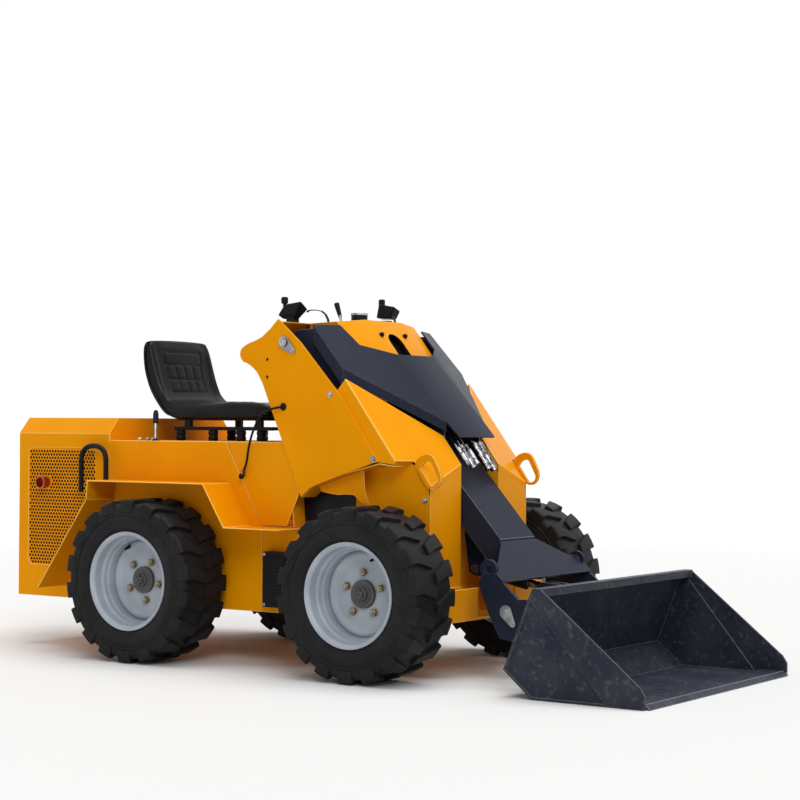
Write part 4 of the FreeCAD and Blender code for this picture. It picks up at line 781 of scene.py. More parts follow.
@dataclass
class Wheels:
    """Four lugged tyres on deep dished rims.

    Attributes:
        track: Distance between the tyres' middles in millimetres.
        axle: Height of the axles.
        base: Distance between the axles.
        out: The tyre's outer radius.
        lugs: Bars on each side of the tread.
        carcass: Half profile: from the middle plane, radius.
        bar: Sections of a bar: outer place, inner place (from the middle plane, radius), start, width.
        dish: The rim's profile from the outboard lip round: from the middle plane, radius.
    """

    track: float = 950.0
    axle: float = 282.0
    base: float = 938.0
    out: float = 282.0
    lugs: int = 18
    carcass: tuple[tuple[float, float], ...] = (
        (93, 162.5), (93.2, 172), (96.5, 175), (99, 180), (101, 181), (103.5, 190), (106, 201), (107, 211),
        (106, 220), (104.2, 224), (104, 227), (107, 229.5), (107, 233), (104.8, 236), (103.8, 240), (104, 250),
        (102.5, 258), (98, 264), (90, 267.5), (60, 269), (30, 269.7), (0, 270),
    )
    bar: tuple[tuple[float, float, float, float, float, float], ...] = (
        (106.4, 238, 102, 236, 1.5, 53), (106.9, 246, 100, 246, 0, 57), (106.9, 268, 95, 253, 0, 57),
        (105.0, 276.5, 90, 256, 0, 57), (99, 281.0, 84, 258, 1.5, 55), (88, 281.8, 78, 260, 4, 51),
        (78, 282, 72, 260, 7, 47), (54, 282, 54, 261, 18, 42), (30, 282, 30, 262, 30, 38), (3, 282, 3, 263, 42, 34),
    )
    dish: tuple[tuple[float, float], ...] = (
        (100, 169.5), (97.5, 171), (95, 171), (94, 169.5), (94, 161.5), (92, 160), (64, 160), (61, 158.5), (55, 153.5),
        (52, 152), (43, 152), (40, 150.5), (36, 147), (33, 146), (-48, 146), (-52, 148), (-58, 157), (-62, 160),
        (-92, 160), (-94, 162), (-94, 170), (-96, 171), (-98.5, 171), (-100, 169), (-99, 161), (-95, 155), (-64, 154),
        (-60, 152), (-54, 142), (-50, 140), (-8, 140), (-3, 136), (3, 130), (4, 126), (3, 121), (-1, 113), (-3, 109),
        (-4, 104), (-4, 46), (4, 46), (4, 105), (5.5, 110), (9, 116), (12, 121), (13.2, 126), (12.5, 131), (9.5, 136),
        (5, 140), (30, 140), (34, 141.5), (39, 145.5), (42, 146.2), (51, 146.2), (54, 148), (59, 153), (62, 154.2),
        (88, 154.2), (92, 155.5), (96, 160), (98.5, 164.5),
    )

    def build(self, yard: Yard) -> None:
        """Make one wheel in detail and copy it to the other three corners."""
        centre = spot(0, -self.track / 2.0, self.axle)
        parts = [
            ("Tyre", self._tyre(centre), TYRE_RUBBER, "tyre_{0}", 0.0), ("Rim", self._rim(centre), RIM_PAINT, "rim_{0}", 0.0),
            ("WheelNuts", self._nuts(centre), YELLOW_ZINC, None, 28.0), ("Valve", self._valve(centre), BLACK_PAINT, None, -54.0),
            ("HubCap", self._hub(centre), IRON, None, 0.0),
        ]
        for end, back in (("front", 0.0), ("rear", -self.base / 1000.0)):
            for hand in ("right", "left"):
                corner = "%s_%s" % (end, hand)
                for title, first, finish, node, turned in parts:
                    turn = Matrix.Rotation(math.radians(turned if end == "rear" else 0.0), 4, "Y")
                    move = Matrix.Translation((back, 0, 0)) @ Matrix.Translation(centre) @ turn @ Matrix.Translation(-centre)
                    piece = Bench.copy(first, title + end.title() + hand.title(), MIRROR @ move if hand == "left" else move)
                    body = "wheel_" + corner if title != "HubCap" else "machine"
                    yard.seat(piece, finish, body, *([node.format(corner)] if node else []), smooth=34.0)
        for row in parts:
            bpy.data.objects.remove(row[1])

    def _tyre(self, centre: Vector) -> Object:
        """Spin the carcass and fuse two staggered rows of bars to it."""
        half = [(u, r) for u, r in self.carcass]
        outline = half + [(-u, r) for u, r in reversed(half[:-1])]
        profile = [centre + Vector((0, u / 1000.0, r / 1000.0)) for u, r in outline]
        pieces = [Bench.lathe("Tyre", profile, centre, Vector((0, 1, 0)), 108)]
        for side in (-1, 1):
            rings = []
            for outer_u, outer_r, inner_u, inner_r, start, width in self.bar:
                draft = 2.6
                section = ((start - draft, inner_u, inner_r), (start, outer_u, outer_r),
                           (start + width * 0.5, outer_u, outer_r), (start + width, outer_u, outer_r),
                           (start + width + draft, inner_u, inner_r), (start + width * 0.5, inner_u, inner_r))
                rings.append([self._around(centre, side, s, u, r) for s, u, r in section])
            bar = Bench.bevel(Bench.loft("Bar", rings), 1.6, 2, 28.0)
            for row in range(self.lugs):
                angle = 2.0 * math.pi * (row + 0.25 * side) / self.lugs
                turn = Matrix.Translation(centre) @ Matrix.Rotation(angle, 4, "Y") @ Matrix.Translation(-centre)
                pieces.append(Bench.copy(bar, "Bar%d" % row, turn))
            bpy.data.objects.remove(bar)
        return Bench.join("Tyre", pieces)

    def _around(self, centre: Vector, side: int, along: float, u: float, radius: float) -> Vector:
        """Wrap a place on the tread, given along it and across it, round the wheel."""
        turn = along / self.out
        return centre + Vector((-radius * math.sin(turn), side * u, -radius * math.cos(turn))) / 1000.0

    def _rim(self, centre: Vector) -> Object:
        """Spin the barrel and disc."""
        profile = [centre + Vector((0, -u / 1000.0, r / 1000.0)) for u, r in self.dish]
        return Bench.lathe("Rim", profile, centre, Vector((0, 1, 0)), 96)

    def _nuts(self, centre: Vector) -> Object:
        """Five wheel nuts with washers and stud ends."""
        out = Vector((0, -1, 0))
        pieces = []
        for k in range(5):
            angle = math.radians(90 + 72 * k)
            place = centre + Vector((math.cos(angle) * 0.07, -0.004, math.sin(angle) * 0.07))
            pieces.append(Bench.bevel(Bench.turned("Washer", place, out, ((0, 14.5), (2.6, 14.5), (3.2, 12))), 0.5))
            nut = Bench.turned("Nut", place + out * 0.003, out, ((0, 12.2), (9, 12.2), (11, 10.4)), 6, angle)
            pieces.append(Bench.bevel(nut, 0.7))
            pieces.append(Bench.bevel(Bench.turned("Stud", place + out * 0.012, out, ((0, 5.6), (5, 5.6), (6, 4.6))), 0.3))
        return Bench.join("WheelNuts", pieces)

    def _valve(self, centre: Vector) -> Object:
        """Tyre valve by the disc's edge."""
        place = centre + Vector((math.cos(math.radians(66)) * 0.131, -0.008, math.sin(math.radians(66)) * 0.131))
        stem = ((0, 7), (4, 7), (9, 5), (24, 4), (24, 4.6), (33, 4.6), (34, 3.8))
        return Bench.bevel(Bench.turned("Valve", place, Vector((-0.12, -1, -0.3)), stem, 20), 0.4)

    def _hub(self, centre: Vector) -> Object:
        """Castle nut and shaft end on the hub's face."""
        out = Vector((0, -1, 0))
        face = centre + out * 0.016
        ring = Bench.turned("HubRing", face, out, ((0, 33), (1.6, 33), (2.4, 31.5)), 48)
        nut = Bench.turned("HubNut", face, out, ((0, 24), (11, 24), (13, 21.5)), 6)
        end = Bench.turned("HubEnd", face + out * 0.010, out, ((0, 13), (9, 13), (10.5, 11), (10.5, 5), (7, 4)), 32)
        slots = []
        for k in range(6):
            angle = math.radians(60 * k + 30)
            place = face + out * 0.0125 + Vector((math.cos(angle), 0, math.sin(angle))) * 0.0165
            slots.append(Bench.turned("Tooth", place, out, ((0, 4.2), (5, 4.2), (6, 3.2)), 4, angle))
        return Bench.join("HubCap", [Bench.bevel(p, 0.6) for p in (ring, nut, end, *slots)])


@dataclass
class Grilles:
    """Perforated sheets behind the rear side panels' openings.

    Attributes:
        edge: Edge of the opening: ahead, up, in millimetres.
        grown: Edge of the sheet behind it.
        pitch: Distance between holes in a row.
        hole: Diameter of a hole.
        stub: Where the exhaust comes through, and the radius left whole round it.
    """

    edge: tuple[tuple[float, float], ...] = (
        (-1640, 301), (-1425, 301), (-1304, 465), (-1304, 734), (-1640, 734),
    )
    grown: tuple[tuple[float, float], ...] = (
        (-1650, 291), (-1420, 291), (-1294, 463), (-1294, 744), (-1650, 744),
    )
    pitch: float = 14.0
    hole: float = 10.6
    stub: tuple[float, float, float] = (-1554, 605, 27)

    def build(self, yard: Yard) -> None:
        """Cut the right sheet from a flat curve, mirror it for the left and set the exhaust's hollow end."""
        axis, out = spot(self.stub[0], 0, self.stub[1]), Vector((0, -1, 0))
        profile = ((318, 0.5), (318, 21), (370, 21), (372, 24.5), (375, 24.5), (375, 19), (330, 19), (330, 0.5))
        stub = Bench.turned("ExhaustStub", axis, out, profile, 48)
        yard.seat(Bench.bevel(stub, 0.6), COPPER, "machine", "exhaust_stub")
        curve = bpy.data.curves.new("Grille", "CURVE")
        curve.dimensions = "2D"
        curve.fill_mode = "BOTH"
        curve.extrude = 0.0006
        rings = [list(self.grown)]
        row = self.pitch * math.sqrt(0.75)
        for j in range(int(440 / row)):
            for i in range(int(345 / self.pitch) + 1):
                x, z = -1634.0 + (i + 0.5 * (j % 2)) * self.pitch, 308.0 + j * row
                if self._inside(x, z, 4.8) and math.hypot(x - self.stub[0], z - self.stub[1]) > self.stub[2]:
                    turns = [math.radians(30 * k + 15) for k in range(12)]
                    rings.append([(x + math.cos(a) * self.hole / 2.0, z + math.sin(a) * self.hole / 2.0) for a in turns])
        for ring in rings:
            spline = curve.splines.new("POLY")
            spline.use_cyclic_u = True
            spline.points.add(len(ring) - 1)
            for point, (x, z) in zip(spline.points, ring):
                point.co = ((x + 328.0) / 1000.0, z / 1000.0, 0.0, 1.0)
        sheet = bpy.data.objects.new("GrilleRight", curve)
        bpy.context.scene.collection.objects.link(sheet)
        Bench.take(sheet)
        bpy.ops.object.convert(target="MESH")
        sheet = bpy.context.object
        sheet.data.transform(Matrix.Translation((0, -0.340, 0)) @ Matrix.Rotation(math.pi / 2.0, 4, "X"))
        Bench.tidy(sheet)
        twin = Bench.copy(sheet, "GrilleLeft", MIRROR)
        yard.seat(sheet, ORANGE, "machine", "grilles")
        yard.seat(twin, ORANGE, "machine")

    def _inside(self, x: float, z: float, room: float) -> bool:
        """Tell whether a place keeps its distance from every side of the opening."""
        for (ax, az), (bx, bz) in zip(self.edge, self.edge[1:] + self.edge[:1]):
            if (bx - ax) * (z - az) - (bz - az) * (x - ax) < room * math.hypot(bx - ax, bz - az):
                return False
        return True


@dataclass
class Seat:
    """One-piece pan seat: a padded pad with a raised rim, piping, and rubber bushings under its rails.

    Attributes:
        sections: Back and front place (ahead, up), half width, depth of the middle panel, rim's width.
        rows: Sewn lines across the backrest: height, and from where to where they run.
        columns: Sewn lines up the backrest: place, and from where to where they run.
        voxel: Size of the remeshed cells in metres.
        cap: How far a point may move in the simulation, in metres.
    """

    sections: tuple[tuple[float, float, float, float, float, float, float], ...] = (
        (-1217, 1138, -1210, 1139, 134, 0, 12), (-1223, 1131, -1204, 1133, 157, 0, 24),
        (-1231, 1114, -1196, 1119, 170, 2, 28), (-1230, 1085, -1187, 1090, 175, 10, 32),
        (-1223, 1030, -1171, 1035, 177, 15, 34), (-1210, 985, -1156, 987, 176, 15, 34),
        (-1190, 942, -1140, 944, 176, 14, 34), (-1158, 898, -1118, 915, 177, 12, 36),
        (-1112, 852, -1080, 903, 181, 10, 38), (-1062, 843, -1045, 897, 186, 9, 40),
        (-960, 842, -960, 896, 190, 11, 42), (-850, 842, -848, 905, 192, 12, 42),
        (-740, 842, -737, 908, 192, 12, 42), (-668, 844, -664, 903, 188, 8, 40),
        (-640, 850, -634, 892, 178, 2, 36), (-631, 862, -628, 880, 160, 0, 14),
    )
    rows: tuple[tuple[float, float, float], ...] = (
        (1092, -104, 104), (1046, -96, 96), (992, -96, 96), (944, -96, 96),
    )
    columns: tuple[tuple[float, float, float], ...] = (
        (-104, 1046, 1092), (104, 1046, 1092), (-96, 944, 1046), (-48, 944, 1046), (0, 944, 1046), (48, 944, 1046),
        (96, 944, 1046),
    )
    voxel: float = 0.006
    cap: float = 0.0035

    def build(self, yard: Yard) -> None:
        """Loft the pad, let it swell, sew its panels and add piping, rails and bushings."""
        pad = Bench.loft("SeatPad", [self._section(*row) for row in self.sections])
        Bench.take(pad)
        smooth = pad.modifiers.new("soft", "SUBSURF")
        smooth.levels = smooth.render_levels = 2
        bpy.ops.object.modifier_apply(modifier="soft")
        self._stuff(pad)
        self._sew(pad)
        yard.seat(pad, VINYL, "machine", "seat_cushion", "seat_backrest", smooth=180.0)
        loop = []
        for side in (-1.0, 1.0):
            line = []
            for bx, bz, fx, fz, half, deep, rim in self.sections[1:-1]:
                share = 10.0 / math.hypot(fx - bx, fz - bz)
                line.append(spot(bx + (fx - bx) * share, side * (half + 2.5), bz + (fz - bz) * share))
            loop += line if side < 0 else reversed(line)
        yard.seat(Bench.tube("SeatPiping", loop, 0.0034, 3, True), VINYL, "machine", smooth=60.0)
        self._rails(yard)

    def _rails(self, yard: Yard) -> None:
        """Build the thin rails, their spacers and the pan, on rubber bushings."""
        metal = [Bench.box("Pan", spot(-1088, -150, 838), spot(-650, 150, 842))]
        rubber = []
        for side in (-145.0, 145.0):
            metal.append(Bench.box("Rail", spot(-1091, side - 10, 802), spot(-640, side + 10, 815)))
            for back in (-1030.0, -700.0):
                metal.append(Bench.box("Spacer", spot(back - 14, side - 8, 814), spot(back + 14, side + 8, 839)))
            for back in (-1066.0, -913.0, -784.0, -690.0):
                stations = ((0, 15), (3, 18), (14, 18), (17, 16), (21, 16), (24, 18), (35, 18), (38.5, 15))
                rubber.append(Bench.turned("Bushing", spot(back, side, 764), Vector((0, 0, 1)), stations, 28))
        yard.seat(Bench.join("SeatRails", [Bench.bevel(p, 1.0) for p in metal]), BLACK_PAINT, "machine", "seat_base")
        yard.seat(Bench.join("SeatBushings", rubber), PLASTIC, "machine", smooth=50.0)

    def _section(self, bx: float, bz: float, fx: float, fz: float, half: float, deep: float, rim: float) -> list[Vector]:
        """One section across the seat, from its back along one side and over its front."""
        back, front = Vector((bx, 0, bz)), Vector((fx, 0, fz))
        thick = (front - back).length
        out = (front - back).normalized()
        crown, corner = min(rim * 0.5, thick * 0.45), min(9.0, thick * 0.3)
        places = [(half * 0.22, 0.0), (half * 0.5, 0.0), (half * 0.78, 0.0), (half - corner, 0.0),
                  (half - corner * 0.3, corner * 0.3), (half, corner), (half, (corner + thick - crown) * 0.5)]
        for turn in (0.0, 30.0, 60.0, 90.0):
            a = math.radians(turn)
            places.append((half - rim * 0.5 * (1.0 - math.cos(a)), thick - crown * (1.0 - math.sin(a))))
        for share in (0.35, 0.7, 1.0):
            places.append((half - rim * 0.5 * (1.0 + share), thick - deep * 0.5 * (1.0 - math.cos(math.pi * share))))
        places += [(half - rim - 7.0, thick - deep), (half * 0.5, thick - deep * 0.9), (half * 0.2, thick - deep * 0.75)]
        places += [(-y, level) for y, level in reversed(places)]
        return [spot(back.x + out.x * level, y, back.z + out.z * level) for y, level in places]

    def _stuff(self, pad: Object) -> None:
        """Remesh the pad and let a short cloth simulation fill it, with capped moves."""
        Bench.take(pad)
        remesh = pad.modifiers.new("cells", "REMESH")
        remesh.mode = "VOXEL"
        remesh.voxel_size = self.voxel
        bpy.ops.object.modifier_apply(modifier="cells")
        rest = [vertex.co.copy() for vertex in pad.data.vertices]
        cloth = pad.modifiers.new("fill", "CLOTH")
        cloth.settings.use_pressure = True
        cloth.settings.uniform_pressure_force = 4.0
        cloth.settings.effector_weights.gravity = 0.0
        cloth.settings.quality = 4
        cloth.point_cache.frame_start = 1
        cloth.point_cache.frame_end = 20
        scene = bpy.context.scene
        for step in range(1, 21):
            scene.frame_set(step)
        shaped = pad.evaluated_get(bpy.context.evaluated_depsgraph_get())
        moved = [vertex.co.copy() for vertex in shaped.data.vertices]
        pad.modifiers.remove(cloth)
        scene.frame_set(1)
        for vertex, before, after in zip(pad.data.vertices, rest, moved):
            move = after - before
            if move.length > self.cap:
                move *= self.cap / move.length
            vertex.co = before + move
        for vertex in pad.data.vertices:
            if vertex.co.z < 0.842 and vertex.co.x < -0.300:
                vertex.co.z = 0.842
        Bench.take(pad)
        finer = pad.modifiers.new("finer", "SUBSURF")
        finer.levels = finer.render_levels = 1
        bpy.ops.object.modifier_apply(modifier="finer")

    def _sew(self, pad: Object) -> None:
        """Press the sewn lines into the pad and let the cells between them swell."""
        for vertex, normal in zip(pad.data.vertices, [v.normal.copy() for v in pad.data.vertices]):
            x, y, z = vertex.co.x * 1000.0 - 328.0, vertex.co.y * 1000.0, vertex.co.z * 1000.0
            near, inside = 99.0, False
            if normal.x > 0.5 and 920 < z < 1110 and abs(y) < 120:
                for height, low, high in self.rows:
                    near = min(near, math.hypot(z - height, max(low - y, y - high, 0.0)))
                for place, low, high in self.columns:
                    near = min(near, math.hypot(y - place, max(low - z, z - high, 0.0)))
                inside = abs(y) < (104 if z > 1046 else 96) and 944 < z < 1092
            elif normal.z > 0.5 and z > 870 and x < -690 and abs(y) < 140:
                wide, long = max(abs(y) - 98.0, 0.0), max(-1010.0 - x, x + 730.0, 0.0)
                for place in (-1010, -940, -870, -800, -730):
                    near = min(near, math.hypot(x - place, wide))
                near = min(near, math.hypot(abs(y) - 98.0, long))
                inside = wide == 0.0 and long == 0.0
            swell = 0.0025 * (1.0 - math.exp(-(near / 8.0) ** 2)) if inside else 0.0
            vertex.co += normal * (swell - 0.0035 * math.exp(-(near / 3.0) ** 2))


@dataclass
class Controls:
    """Pods, levers, knobs, gauge, straps and handles that the operator works with.

    Attributes:
        pods: Each pod's lower and upper corners, in millimetres, and the height of its knob's top.
        handle: Control places of the right grab handle: ahead, up.
    """

    pods: tuple[tuple[tuple[tuple[float, float, float], ...], tuple[tuple[float, float, float], ...], float], ...] = (
        (((-502, -300, 1200), (-426, -300, 1197), (-426, -280, 1181), (-498, -272, 1186)),
         ((-467, -308, 1236), (-393, -308, 1245), (-398, -262, 1218), (-470, -250, 1222)), 1262.0),
        (((-484, 304, 1212), (-419, 300, 1209), (-421, 262, 1216), (-480, 256, 1216)),
         ((-470, 318, 1250), (-408, 310, 1242), (-402, 262, 1256), (-465, 250, 1268)), 1286.0),
    )
    handle: tuple[tuple[float, float], ...] = (
        (-1339, 576), (-1339, 628), (-1339, 743), (-1218, 743), (-1218, 628), (-1218, 621),
    )

    def build(self, yard: Yard) -> None:
        """Build the levers on the tower and on the deck."""
        up = Vector((0, 0, 1))
        grips, bright, pods = [], [], []
        for low, high, top in self.pods:
            side = 1.0 if low[0][1] > 0 else -1.0
            pods.append(Bench.bevel(Bench.loft("Pod", [[spot(*p) for p in low], [spot(*p) for p in high]]), 5.0, 3))
            foot = [spot(-468, side * 265, 1139), spot(-434, side * 265, 1167), spot(-434, side * 295, 1167),
                    spot(-468, side * 295, 1139)]
            head = [Vector((p.x, p.y, 1.206)) for p in foot]
            pods.append(Bench.bevel(Bench.loft("Post", [foot, head]), 1.5))
            knob = spot(-478, side * 290, top - 36)
            grips.append(Bench.turned("Knob", knob, up, ((0, 6), (12, 6), (13, 10.5), (16, 12), (32, 12), (35, 10), (36, 7)), 28))
        yard.seat(Bench.join("ControlPods", pods), PLASTIC, "machine", "control_pods")
        foot, lean = spot(-400, -60, 1172), Vector((-27, 0, 79)).normalized()
        grips.append(Bench.turned("Boot", foot, up, ((0, 19), (4, 18), (8, 13), (14, 8)), 28))
        bright.append(Bench.turned("Lever", foot + lean * 0.006, lean, ((0, 4.5), (26, 4.5), (26, 7.5), (31, 7.5)), 24))
        grips.append(Bench.turned("Grip", foot + lean * 0.035, lean, ((0, 6.5), (3, 7), (34, 9.2), (46, 9.5), (50, 7)), 28))
        grips.append(Bench.turned("GaugeStand", spot(-385, 20, 1172), up, ((0, 12), (20, 12)), 28))
        grips.append(Bench.turned("Gauge", spot(-385, 20, 1190), up, ((0, 26), (3, 29), (26, 29), (28, 27)), 40))
        bright.append(Bench.turned("GaugeRim", spot(-385, 20, 1211), up, ((0, 29.5), (0.5, 31), (7, 31), (8, 29), (8, 26.5)), 40))
        foot, lean = spot(-1027, -330, 764), Vector((-25, 30, 107)).normalized()
        bright.append(Bench.turned("DeckRod", foot - lean * 0.0, lean, ((0.5, 5), (76, 5)), 20))
        grips.append(Bench.turned("DeckGrip", foot + lean * 0.066, lean, ((0, 8), (4, 10.5), (34, 10), (46, 8), (50, 4)), 28))
        grips.append(Bench.turned("DeckBoot", foot, up, ((0, 14), (3, 13), (7, 8), (9, 6)), 28))
        for back in (-1111, -1075, -1049):
            bright.append(Bench.turned("Knob", spot(back, -318, 764), up, ((0, 5), (3, 5), (3, 9), (8, 9), (10, 6.5)), 24))
        grips = [Bench.bevel(piece, 0.8, 2, 35.0) for piece in grips]
        bright = [Bench.bevel(piece, 0.5, 2, 35.0) for piece in bright]
        yard.seat(Bench.join("LeverGrips", grips), PLASTIC, "machine", "control_levers")
        yard.seat(Bench.join("LeverRods", bright), STEEL, "machine")
        straps, handles = [], []
        for side in (-1.0, 1.0):
            line = ((-408, 254, 1208), (-404, 250, 1214), (-390, 234, 1216), (-376, 216, 1213), (-365, 208, 1202),
                    (-358, 204, 1186), (-356, 203, 1174))
            rings = []
            for (x, y, z), (dx, dz) in zip(line, ((0, 3), (0, 3), (0, 3), (2, 2.5), (3, 1), (3, 0), (3, 0))):
                rings.append([spot(x, side * (y - 6), z), spot(x, side * (y + 6), z),
                              spot(x + dx, side * (y + 6), z + dz), spot(x + dx, side * (y - 6), z + dz)])
            straps.append(Bench.bevel(Bench.loft("Straps", rings), 0.8))
            handles.append(Bench.tube("Handle", [spot(x, side * 380, z) for x, z in self.handle], 0.0095, 5))
        yard.seat(Bench.join("ConsoleStraps", straps), PLASTIC, "machine")
        yard.seat(Bench.join("GrabHandles", handles), BLACK_PAINT, "machine", "grab_handles", smooth=60.0)


@dataclass
class Couplers:
    """Quick couplers and hoses that come out from under the boom's cover.

    Attributes:
        lines: Start and end of each coupler, radius in millimetres.
    """

    lines: tuple[tuple[tuple[float, float, float], tuple[float, float, float], float], ...] = (
        ((84, -78, 762), (140, -78, 690), 9.0), ((84, -60, 772), (148, -60, 682), 10.0),
        ((84, -40, 778), (150, -40, 694), 9.0), ((101, 4, 772), (168, 4, 676), 12.0), ((101, 32, 776), (173, 32, 672), 12.0),
    )

    def build(self, yard: Yard) -> None:
        """Turn each coupler with its sleeve and rings, and lead its hose back under the cover."""
        bodies, hoses = [], []
        for start, end, radius in self.lines:
            a, b = spot(*start), spot(*end)
            along = (b - a).normalized()
            long = (b - a).length * 1000.0
            stations = ((0, radius * 0.7), (long * 0.12, radius * 0.7), (long * 0.12, radius), (long * 0.3, radius),
                        (long * 0.32, radius * 0.82), (long * 0.42, radius * 0.82), (long * 0.44, radius * 1.12),
                        (long * 0.80, radius * 1.12), (long * 0.82, radius * 0.9), (long * 0.9, radius * 0.9),
                        (long * 0.9, radius * 1.02), (long, radius * 1.02), (long, radius * 0.6), (long * 0.93, radius * 0.5))
            bodies.append(Bench.bevel(Bench.turned("Coupler", a, along, stations, 28), 0.5))
            line = [a + along * 0.004, a - along * 0.03, a - along * 0.06 + Vector((0, 0, -0.012)),
                    a - along * 0.10 + Vector((0, 0, -0.03))]
            hoses.append(Bench.tube("Hose", line, radius * 0.00066, 4))
        yard.seat(Bench.join("QuickCouplers", bodies), CHROME, "boom", "hose_couplers")
        yard.seat(Bench.join("CouplerHoses", hoses), CABLE, "boom")


@dataclass
class Fasteners:
    """Bolts, step plate and small fittings that are only seen.

    Attributes:
        side_bolts: Bolts on a side: body, ahead, from the middle plane, up, radius, in millimetres.
    """

    side_bolts: tuple[tuple[str, float, float, float, float], ...] = (
        ("machine", -210, 388, 924, 8), ("machine", -34, 388, 713, 8), ("machine", -1314, 345, 586, 6),
        ("machine", -1242, 345, 588, 6), ("machine", 115, 303, 579, 7),
    )

    def build(self, yard: Yard) -> None:
        """Set every bolt on both sides and build the ribbed step plate."""
        bolts = []
        for body, ahead, half, up, radius in self.side_bolts:
            for side in (-1.0, 1.0):
                out = Vector((0, side, 0))
                place = spot(ahead, side * half, up)
                bolts.append(Bench.bevel(Bench.turned("Washer", place, out, ((0, radius * 1.35), (1.6, radius * 1.35)), 28), 0.4))
                head = Bench.turned("Head", place + out * 0.0016, out, ((0, radius), (radius * 0.5, radius),
                                                                       (radius * 0.62, radius * 0.8)), 6)
                bolts.append(Bench.bevel(head, 0.5))
        yard.seat(Bench.join("SideBolts", bolts), STEEL, "machine")
        plugs = []
        for ahead in (-1122, -1057):
            for side in (-1.0, 1.0):
                plugs.append(Bench.bevel(Bench.turned("Plug", spot(ahead, side * 345, 652), Vector((0, side, 0)),
                                                      ((0, 8), (1.2, 8), (2.2, 5.5)), 28), 0.4))
        yard.seat(Bench.join("PanelPlugs", plugs), ORANGE, "machine")
        ends, discs = [], []
        for side in (-1.0, 1.0):
            out = Vector((0, side, 0))
            ends.append(Bench.turned("PinEnd", spot(-402, side * 396, 1100), out,
                                     ((0, 15.5), (3, 15.5), (4, 14), (4, 9.5), (1.5, 8.5), (1.5, 0.5)), 36))
            ends.append(Bench.turned("PinBolt", spot(-366, side * 392, 1070), out, ((0, 5.5), (4, 5.5), (5, 4)), 6))
            # Black discs just inside the tower side plates' holes: painted shade of the holes.
            discs += [Bench.turned("HoleDisc", spot(-477, side * 372, up), out, ((0, 9), (4, 9)), 20) for up in (984, 1044)]
        yard.seat(Bench.join("PinEnds", [Bench.bevel(p, 0.4) for p in ends]), STEEL, "machine")
        yard.seat(Bench.join("HoleDiscs", discs), BLACK_PAINT, "machine")
        self._step(yard)

    def _step(self, yard: Yard) -> None:
        """Build the black step box with its ribs and two bright bolts."""
        parts = [Bench.bevel(Bench.box("StepBox", spot(-498, -377, 205), spot(-400, -341, 393)), 2.0)]
        count = 15
        for k in range(count):
            low = 211.0 + 176.0 * k / count
            parts.append(Bench.bevel(Bench.box("Rib", spot(-482, -381, low), spot(-404, -376, low + 6.5)), 1.0))
        yard.seat(Bench.join("StepBox", parts), PLASTIC, "machine", "side_box")
        bolts = []
        for up in (214.0, 384.0):
            bolts.append(Bench.bevel(Bench.turned("StepBolt", spot(-490, -377, up), Vector((0, -1, 0)),
                                                  ((0, 6), (3, 6), (4, 4.5)), 20), 0.4))
        yard.seat(Bench.join("StepBolts", bolts), STEEL, "machine")


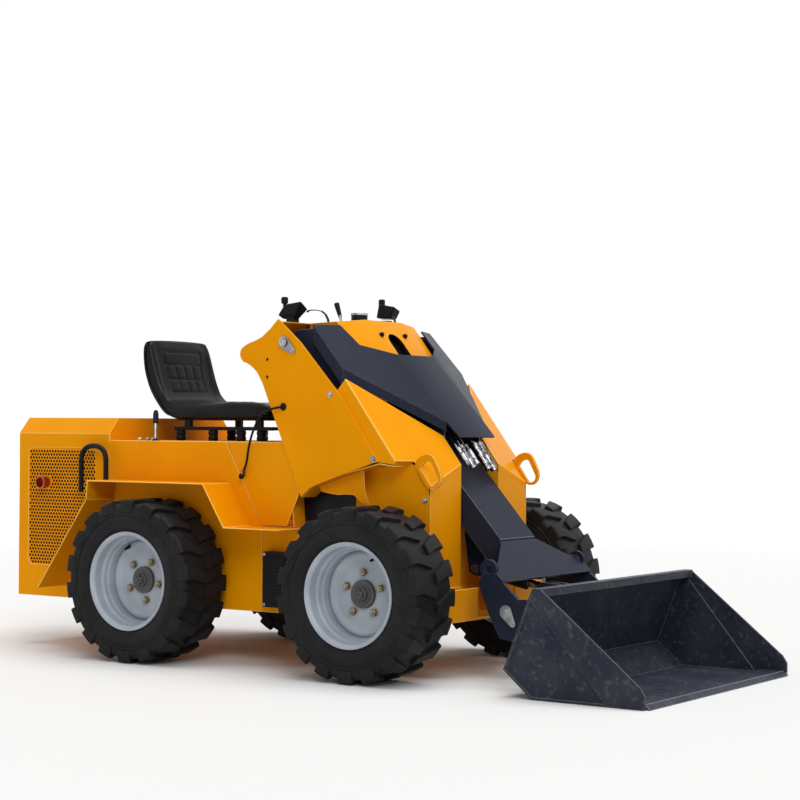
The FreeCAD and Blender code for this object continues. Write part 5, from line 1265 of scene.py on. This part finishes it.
@dataclass
class Studio:
    """Camera at the photograph's place, floor, world and lamps.

    Attributes:
        place: The camera's place in metres.
        yaw: Turn to the left of +Y, in degrees.
        pitch: Tilt above the horizon, in degrees.
        roll: Turn about the view, in degrees.
        lens: Focal length in millimetres.
        lamps: Name, where it shines from, how wide its disc is in degrees, strength.
    """

    place: tuple[float, float, float] = (3.982, -5.596, 0.820)
    yaw: float = 34.52
    pitch: float = 0.773
    roll: float = 0.341
    lens: float = 88.11
    lamps: tuple[tuple[str, tuple[float, float, float], float, float], ...] = (
        ("Sky", (0.20, 0.10, 0.97), 50.0, 2.0), ("Front", (0.55, -0.60, 0.55), 24.0, 0.9),
    )

    def camera(self) -> None:
        """Set up the camera."""
        yaw, pitch, roll = (math.radians(v) for v in (self.yaw, self.pitch, self.roll))
        ahead = Vector((-math.sin(yaw) * math.cos(pitch), math.cos(yaw) * math.cos(pitch), math.sin(pitch)))
        right = Vector((math.cos(yaw), math.sin(yaw), 0.0))
        up = right.cross(ahead)
        side = right * math.cos(roll) + up * math.sin(roll)
        top = up * math.cos(roll) - right * math.sin(roll)
        data = bpy.data.cameras.new("Camera")
        data.sensor_width = 36.0
        data.lens = self.lens
        data.clip_end = 100.0
        camera = bpy.data.objects.new("Camera", data)
        turn = Matrix((side, top, -ahead)).transposed().to_4x4()
        camera.matrix_world = Matrix.Translation(self.place) @ turn
        bpy.context.scene.collection.objects.link(camera)
        bpy.context.scene.camera = camera

    def light(self) -> None:
        """Lay the floor, and set the world and the lamps."""
        Bench.take()
        bpy.ops.mesh.primitive_plane_add(size=60.0, location=(0, 0, -0.0005))
        floor = bpy.context.object
        floor.name = "Floor"
        material = bpy.data.materials.new("PaleFloor")
        material.use_nodes = True
        tree = material.node_tree
        shader = tree.nodes["Principled BSDF"]
        shader.inputs["Roughness"].default_value = 0.85
        far = tree.nodes.new("ShaderNodeVectorMath")
        far.operation = "LENGTH"
        tree.links.new(tree.nodes.new("ShaderNodeTexCoord").outputs["Object"], far.inputs[0])
        fade = Finish.ramp(tree, far.outputs["Value"], 5.0, 13.0)
        tree.links.new(Finish.mix(tree, fade, (0.80, 0.80, 0.795), (1.0, 1.0, 1.0)), shader.inputs["Base Color"])
        floor.data.materials.append(material)
        world = bpy.data.worlds.new("Studio")
        bpy.context.scene.world = world
        world.use_nodes = True
        tree = world.node_tree
        back = tree.nodes["Background"]
        path = tree.nodes.new("ShaderNodeLightPath")
        seen = path.outputs["Is Camera Ray"]
        for name in ("Is Glossy Ray", "Is Transmission Ray"):
            more = tree.nodes.new("ShaderNodeMath")
            more.operation = "MAXIMUM"
            tree.links.new(seen, more.inputs[0])
            tree.links.new(path.outputs[name], more.inputs[1])
            seen = more.outputs[0]
        level = tree.nodes.new("ShaderNodeMapRange")
        level.inputs["To Min"].default_value = 0.39
        level.inputs["To Max"].default_value = 1.0
        tree.links.new(seen, level.inputs["Value"])
        tree.links.new(level.outputs["Result"], back.inputs["Strength"])
        back.inputs["Color"].default_value = (1.0, 1.0, 1.0, 1.0)
        for name, source, disc, power in self.lamps:
            sun = bpy.data.lights.new(name, "SUN")
            sun.energy = power
            sun.angle = math.radians(disc)
            lamp = bpy.data.objects.new(name, sun)
            lamp.rotation_euler = Vector(source).to_track_quat("Z", "Y").to_euler()
            bpy.context.scene.collection.objects.link(lamp)
        bpy.context.scene.view_settings.view_transform = "Standard"


def main() -> None:
    """Build the whole machine in order."""
    logging.basicConfig(level=logging.INFO, format="%(message)s")
    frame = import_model()
    Bench.take()
    studio = Studio()
    studio.camera()
    yard = Yard(frame)
    Cable().build(yard)
    for part in (SheetWork(), Console(), Wheels(), Grilles(), Seat(), Controls(), Couplers(), Fasteners()):
        log.info("building %s", type(part).__name__)
        part.build(yard)
    studio.light()
    Bench.take()


if __name__ == "__main__":
    main()
